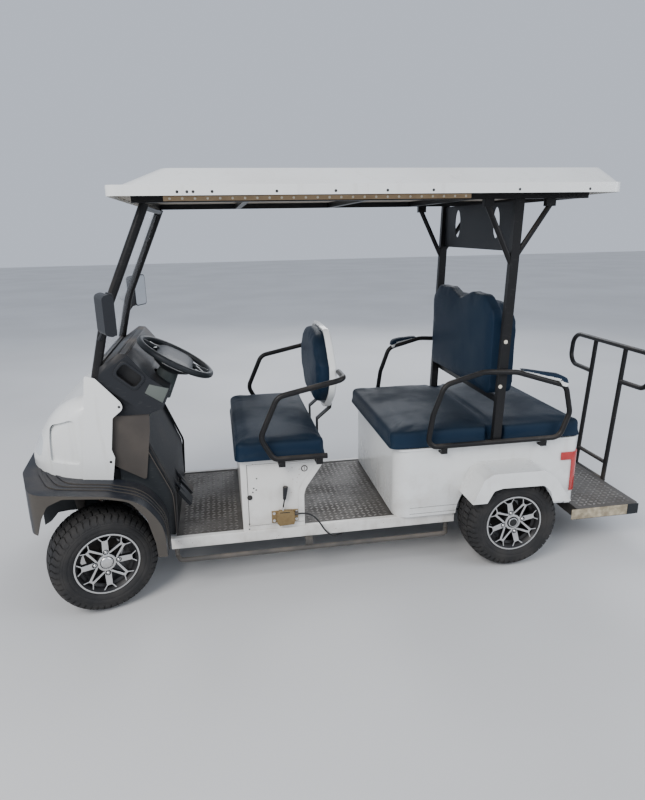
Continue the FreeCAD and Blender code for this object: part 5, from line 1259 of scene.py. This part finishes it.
# %% Seat box fittings
BOX_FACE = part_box("front_seat_box")[1][1]
LOCK = Vector((0.269, BOX_FACE, 0.541))
LOCK_RING = [(0, 0.0155), (0.0025, 0.0150), (0.003, 0.0120), (0.0015, 0.0112), (0, 0.0112)]
LOCK_FACE = [(0, 0), (0, 0.0112), (0.0018, 0.0108), (0.0018, 0)]
BOX_HOLES = [(0.490, 0.509), (0.505, 0.462), (0.494, 0.453), (0.510, 0.443), (0.533, 0.284), (0.5345, 0.258)]
lock_ring = smooth(bevelled(lathe(LOCK_RING, cast_black, 40), 0.0004), 30)
lock_face = smooth(lathe(LOCK_FACE, white_metal, 40, closed=False))
lock = moved(joined("lock", [lock_ring, lock_face]), Matrix.Translation(LOCK))
lock_slot = block((LOCK.x - 0.0012, BOX_FACE + 0.0016, LOCK.z - 0.009),
                  (LOCK.x + 0.0012, BOX_FACE + 0.0022, LOCK.z + 0.009), black_pockets, 0.0003)
door_stop = side_fasteners([(0.525, 0.418)], BOX_FACE + 0.002, tyre_rubber, 0.009, 0.006, 24, 1.35,
                           sides=[1])
box_holes = side_fasteners(BOX_HOLES, BOX_FACE, black_pockets, 0.0036, 0.0006, 16, 1.0, sides=[1])
fittings = joined("fittings", [lock, lock_slot] + door_stop + box_holes)
piece("seat_box_fittings", fittings, "cart_body", "alloy")

# %% [markdown]
# ## Seams
# The hatch in the seat box and a joint in the rear body show as thin dark lines. A line is a
# narrow strip that stands 0.4 mm out of the wall, which reads as a gap at this distance and
# needs no cut in the CAD solid.


# %% Seams of the hatch and the rear body
SEAM, SEAM_IN, SEAM_OUT = 0.0016, 0.0010, 0.0004
HATCH_SEAMS = [  # x, z, x to, z to
    (0.192, 0.578, 0.533, 0.578), (0.533, 0.274, 0.533, 0.578), (0.276, 0.274, 0.533, 0.274)]
BODY_SEAMS = [(-0.475, 0.298, -0.235, 0.298), (-0.475, 0.267, -0.235, 0.267)]


def seams(lines, y):
    """Thin dark lines along X or Z on both sides of the cart at |y|."""
    made = []
    for x, z, x_to, z_to in lines:
        outline = rectangle(x - SEAM / 2, z - SEAM / 2, x_to + SEAM / 2, z_to + SEAM / 2)
        line = prism(outline, y - SEAM_IN, y + SEAM_OUT, cast_black)
        made += [line, mirrored(line)]
    return made


body_low, body_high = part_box("rear_body")
all_seams = seams(HATCH_SEAMS, BOX_FACE) + seams(BODY_SEAMS, body_high[1])
piece("panel_seams", joined("seams", all_seams), "cart_body", "black_metal")

# %% [markdown]
# ## Roof edge, cowl and posts
# Screws hold the roof's fascia, closer together at the front where a joint is. A strip of small
# lamps is stuck along the roof rail under it, beige with a paler mark at each lamp. The cowl
# has two dark screws on each side and the rear posts two pale bolts.

# %% Roof fittings
FASCIA_SCREWS = (0.734, 0.699, 0.677, 0.609, 0.372, 0.149, -0.053, -0.237, -0.595, -0.900)
SCREW_HEIGHT = 1.7395
STRIP_REAR, STRIP_FRONT, STRIP_MARKS, STRIP_OUT = -0.465, 0.797, 26, 0.0022
fascia_y, rail_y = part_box("roof_shell")[1][1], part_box("roof_frame")[1][1]
screws = side_fasteners([(x, SCREW_HEIGHT) for x in FASCIA_SCREWS], fascia_y, black_pockets, 0.0042,
                        0.0006, 12, 1.3)
piece("fascia_screws", joined("screws", screws), "cart_body", "black_metal")
strip_base = block((STRIP_REAR, rail_y, 1.7155), (STRIP_FRONT, rail_y + STRIP_OUT, 1.7335), strip_beige,
                   0.0006)
strip_step = (STRIP_FRONT - STRIP_REAR) / STRIP_MARKS
marks = [(STRIP_REAR + strip_step * (i + 0.5), 1.7245) for i in range(STRIP_MARKS)]
strip_marks = side_fasteners(marks, rail_y + STRIP_OUT, lamp_white, 0.0050, 0.0014, 4, 1.0, sides=[1])
piece("roof_lamp_strip", joined("strip", [strip_base] + strip_marks), "cart_body", "lamp_lens")

# %% Screws on cowl and posts
cowl_y, post_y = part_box("cowl_sides")[1][1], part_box("rear_posts")[1][1]
cowl_screws = side_fasteners([(1.054, 0.890), (1.113, 0.646)], cowl_y, black_pockets, 0.0046, 0.0026, 16,
                             1.25)
post_bolts = side_fasteners([(-0.663, 1.093), (-0.650, 0.8845)], post_y, lamp_white, 0.0066, 0.005)
piece("panel_screws", joined("screws", cowl_screws + post_bolts), "cart_body", "alloy")

# %% [markdown]
# ## Mirrors
# Each mirror is a plastic head with a rounded glass in its rear face. The glass gets real
# thickness and stands just proud of a thin rim, because its edge is what shows at a distance.

# %% Mirror glasses
HEAD_TURN, HEAD_PLACE = math.radians(24), Vector((1.04815, 0.512, 1.296))
GLASS_BACK = -0.0215
head_matrix = Matrix.Translation(HEAD_PLACE) @ Matrix.Rotation(HEAD_TURN, 4, "Z")
rim_plate = prism(rounded_outline(0.057, 0.082, 0.020), -0.0235, GLASS_BACK, black_plastic, axis=0)
glass_plate = prism(rounded_outline(0.052, 0.077, 0.017), -0.0240, GLASS_BACK, mirror_glass, axis=0)
mirror = moved(joined("mirror", smoothed([bevelled(rim_plate, 0.0006), glass_plate])), head_matrix)
piece("mirror_glasses", joined("mirrors", [mirror, mirrored(mirror)]), "cart_body", "clear_glass")

# %% [markdown]
# ## Springs
# Behind each front wheel stands a damper inside a coil spring, and the rear axle hangs on
# leaf springs. A coil is a bar along a helix, so its centre line comes from a loop. The leaves
# keep their solid form from the CAD model and are copied into this piece.


# %% Springs and dampers
AXLE_X, COIL_RADIUS, COIL_WIRE, COIL_TURNS = 1.21015, 0.0225, 0.0042, 6.5
COIL_FROM, COIL_SHARE = 0.34, 0.58
PER_TURN = 20


def damper(side):
    """A damper with its coil, from the axle up to the tower."""
    low, high = Vector((AXLE_X - 0.008, side * 0.300, 0.247)), Vector((AXLE_X - 0.039, side * 0.2845, 0.504))
    axis = (high - low).normalized()
    out = axis.orthogonal().normalized()
    start, reach = low.lerp(high, COIL_FROM), (high - low).length * COIL_SHARE
    helix = []
    for i in range(int(COIL_TURNS * PER_TURN) + 1):
        turn = Matrix.Rotation(math.tau * i / PER_TURN, 3, axis)
        helix.append((start + axis * reach * i / (COIL_TURNS * PER_TURN) + turn @ out * COIL_RADIUS, 0))
    cup = start - axis * 0.004
    return [bent_bar(helix, COIL_WIRE, spring_steel), rod(low, high, 0.0125, cast_black),
            rod(cup - axis * 0.006, cup, 0.027, cast_black, bevel=0.0015),
            rod(high - axis * 0.030, high - axis * 0.024, 0.027, cast_black, bevel=0.0015)]


leaf_work = cad_copy("suspension")
front_half = [v for v in leaf_work.verts if v.co.x > 0.5]
bmesh.ops.delete(leaf_work, geom=front_half, context="VERTS")
leaves = smooth(as_mesh(leaf_work, leaf_steel), 30)
springs = joined("springs", [leaves] + damper(1) + damper(-1))
piece("springs_and_dampers", springs, "cart_body", "spring_steel", "suspension")

# %% [markdown]
# ## Tail lamps
# The red lens wraps round the body's rear corner as an upright strip with a tab forwards at its
# top. The CAD lens is a plain band of the right thickness, so the strip's shape is cut from a
# copy of it.

# %% Tail lamps
LAMP_TAB_LOW, LAMP_STRIP_FRONT = 0.484, -1.062
cutter = joined("cutter", [
    bevelled(block((LAMP_STRIP_FRONT, y_low, 0.2), (-0.9, y_high, LAMP_TAB_LOW), red_lens, 0), 0.010, 4)
    for y_low, y_high in ((0.3, 0.5), (-0.5, -0.3))])
lens = bevelled(drilled(plain_copy("tail_lamps", red_lens), cutter), 0.0012)
piece("tail_lenses", smooth(painted(lens, red_lens), 30), "cart_body", "red_lens", "tail_lamps")

# %% [markdown]
# ## Cab side panels
# Between the dashboard, the toe board and the front arch the real cart is closed by black
# moulded panels, with a rubber edging on the toe board. On the dashboard's side are a rounded
# tray and a grey switch panel; inside the arch hang a liner and a bracket. All are thin, so
# they are prisms with rounded edges, made for the left side and mirrored to the right.

# %% Outlines of the cab side
SPLASH_PANEL = [(0.962, 0.725), (0.866, 0.465), (0.871, 0.2535), (0.915, 0.2535), (0.915, 0.330),
                (0.945, 0.400), (1.020, 0.470), (1.085, 0.505), (1.085, 0.700)]
EDGING = [((0.964, 0.733), 0), ((0.856, 0.463), 0.09), ((0.865, 0.262), 0)]
SWITCH_PANEL = [(0.9232, 0.977), (0.8440, 0.954), (0.8750, 0.892), (0.9450, 0.940)]
ARCH_LINER = [(1.110, 0.552), (1.455, 0.552), (1.470, 0.470), (1.468, 0.300), (1.437, 0.318),
              (1.402, 0.358), (1.352, 0.364), (1.110, 0.364)]
ARCH_BRACKET = [(1.338, 0.500), (1.262, 0.500), (1.284, 0.370), (1.316, 0.370)]
LINER_Y = 0.245
TRAY_RIM = rounded_outline(0.062, 0.041, 0.024)
TRAY_HOLE = rounded_outline(0.050, 0.030, 0.018)
TRAY_CUP = rounded_outline(0.052, 0.032, 0.020)
TRAY_DEPTH = 0.035
TRAY_TURN = math.radians(-42)
dash_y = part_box("dashboard")[1][1]
tray_place = Matrix.Translation((1.002, dash_y, 1.020)) @ Matrix.Rotation(TRAY_TURN, 4, "Y")

# %% Cab side panels
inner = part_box("leg_shield")[1][1] - 0.010
splash = bevelled(prism(SPLASH_PANEL, inner - 0.004, inner, wheel_plastic), 0.001)
edging = bent_bar([((x, inner - 0.002, z), bend) for (x, z), bend in EDGING], 0.0058, tyre_rubber)
switches = bevelled(prism(SWITCH_PANEL, dash_y - 0.002, dash_y + 0.0022, panel_grey), 0.0015)
tray_rim = drilled(prism(TRAY_RIM, -0.002, 0.005, black_plastic),
                   prism(TRAY_HOLE, -0.01, 0.01, black_plastic))
tray = moved(bevelled(tray_rim, 0.0018), tray_place)
cup = moved(drilled(prism(TRAY_CUP, -TRAY_DEPTH - 0.002, -0.001, black_pockets),
                    prism(TRAY_HOLE, -TRAY_DEPTH, 0.01, black_pockets)), tray_place)
liner = bevelled(prism(ARCH_LINER, LINER_Y - 0.003, LINER_Y, wheel_plastic), 0.001)
bracket = bevelled(prism(ARCH_BRACKET, LINER_Y, LINER_Y + 0.008, toe_plastic), 0.002)
left_side = joined("side", smoothed([splash, edging, switches, tray, cup, liner, bracket]))
piece("cab_side_panels", joined("sides", [left_side, mirrored(left_side)]), "cart_body", "black_plastic")
recess = moved(prism(TRAY_HOLE, -TRAY_DEPTH, 0.02, black_pockets), tray_place)
recesses = joined("recesses", [recess, mirrored(recess)])
dashboard = drilled(plain_copy("dashboard", black_plastic), recesses)
piece("dashboard_with_trays", smooth(dashboard, 30), "cart_body", "black_plastic", "dashboard")

# %% [markdown]
# ## Upper rear panel and step edge
# The panel under the roof is thin sheet with a fold along its top and foot and two oval hand
# holes, so it replaces the CAD solid, which is too thick for the holes to be seen through. The
# rear step's side edge is faced with a strip of beige tread plate that ends in a black cap.

# %% Upper rear panel
HOLE_Y, HOLE_Z, HOLE_WIDE, HOLE_TALL = 0.232, 1.615, 0.034, 0.070
panel_low, panel_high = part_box("upper_rear_panel")
SHEET, SHEET_X = 0.003, (panel_low[0] + panel_high[0]) / 2
ovals = [prism([(side * HOLE_Y + HOLE_WIDE * math.cos(a), HOLE_Z + HOLE_TALL * math.sin(a))
                for a in circle(32)], panel_low[0], panel_high[0], black_plastic, axis=0)
         for side in (1, -1)]
sheet = prism(rectangle(-panel_high[1], panel_low[2], panel_high[1], panel_high[2]), SHEET_X - SHEET / 2,
              SHEET_X + SHEET / 2, black_plastic, axis=0)
folds = [block((panel_low[0], -panel_high[1], z), (SHEET_X + SHEET / 2, panel_high[1], z + SHEET),
               black_plastic, 0.0008) for z in (panel_low[2], panel_high[2] - SHEET)]
rear_panel = joined("panel", smoothed([drilled(sheet, joined("ovals", ovals))] + folds))
piece("rear_panel_with_holes", rear_panel, "cart_body", "black_plastic", "upper_rear_panel")

# %% Step edge
EDGE_FRONT, EDGE_CAP, EDGE_MIDDLE = -1.075, -1.385, 0.1935
edge_y = step_high[1]
facing = block((EDGE_CAP, edge_y - 0.001, 0.1665), (EDGE_FRONT, edge_y + 0.0015, 0.2205), step_beige,
               0.0006)
end_cap = block((step_low[0] + 0.001, edge_y - 0.003, 0.1655), (EDGE_CAP, edge_y + 0.003, 0.2215),
                wheel_plastic, 0.002)
edge_parts = [facing, end_cap, mirrored(facing), mirrored(end_cap)]
crests = grown(lozenge(0.017, 0.005, 0.0012), TREAD_LOZENGES, Length=EDGE_FRONT - EDGE_CAP, Width=0.054,
               Pitch=0.0165, Centre=(0, 0, 0), Finish=step_beige)
painted(crests, step_beige)
for side in (1, -1):
    stand = Matrix.Translation(((EDGE_FRONT + EDGE_CAP) / 2, side * (edge_y + 0.0014), EDGE_MIDDLE))
    edge_parts.append(moved(crests.copy(), stand @ Matrix.Rotation(math.radians(-90 * side), 4, "X")))
piece("step_edge_strips", joined("edges", edge_parts), "cart_body", "tread_plate")

# %% [markdown]
# ## Lip of the rear body
# A folded lip runs round the top of the rear body, and a small white bracket closes the corner
# below each tail lamp. The lip follows the body's plan: it is a slightly larger plan with the
# body's own taken out of it.


# %% Rear body lip and corner brackets
LIP_PROUD, LIP_HEIGHT, LIP_CORNER = 0.0030, 0.0100, 0.055


def band(grow, low, high, material):
    """A thin solid of the rear body's plan between two heights."""
    half_x, half_y = (body_high[0] - body_low[0]) / 2 + grow, body_high[1] + grow
    middle = (body_high[0] + body_low[0]) / 2
    plan = [(x + middle, y) for x, y in rounded_outline(half_x, half_y, LIP_CORNER)]
    return prism(plan, low, high, material, axis=2)


lip_top = body_high[2] - 0.0005
lip_solid = band(LIP_PROUD, lip_top - LIP_HEIGHT, lip_top, white_body)
lip = bevelled(drilled(lip_solid, band(0.0002, lip_top - 0.1, lip_top + 0.1, white_body)), 0.0012)
corner = bevelled(block((-1.074, 0.422, 0.250), (-1.041, 0.431, 0.312), white_body, 0), 0.004, 3)
piece("rear_body_lip", joined("lip", smoothed([lip, corner, mirrored(corner)])), "cart_body", "white_body")
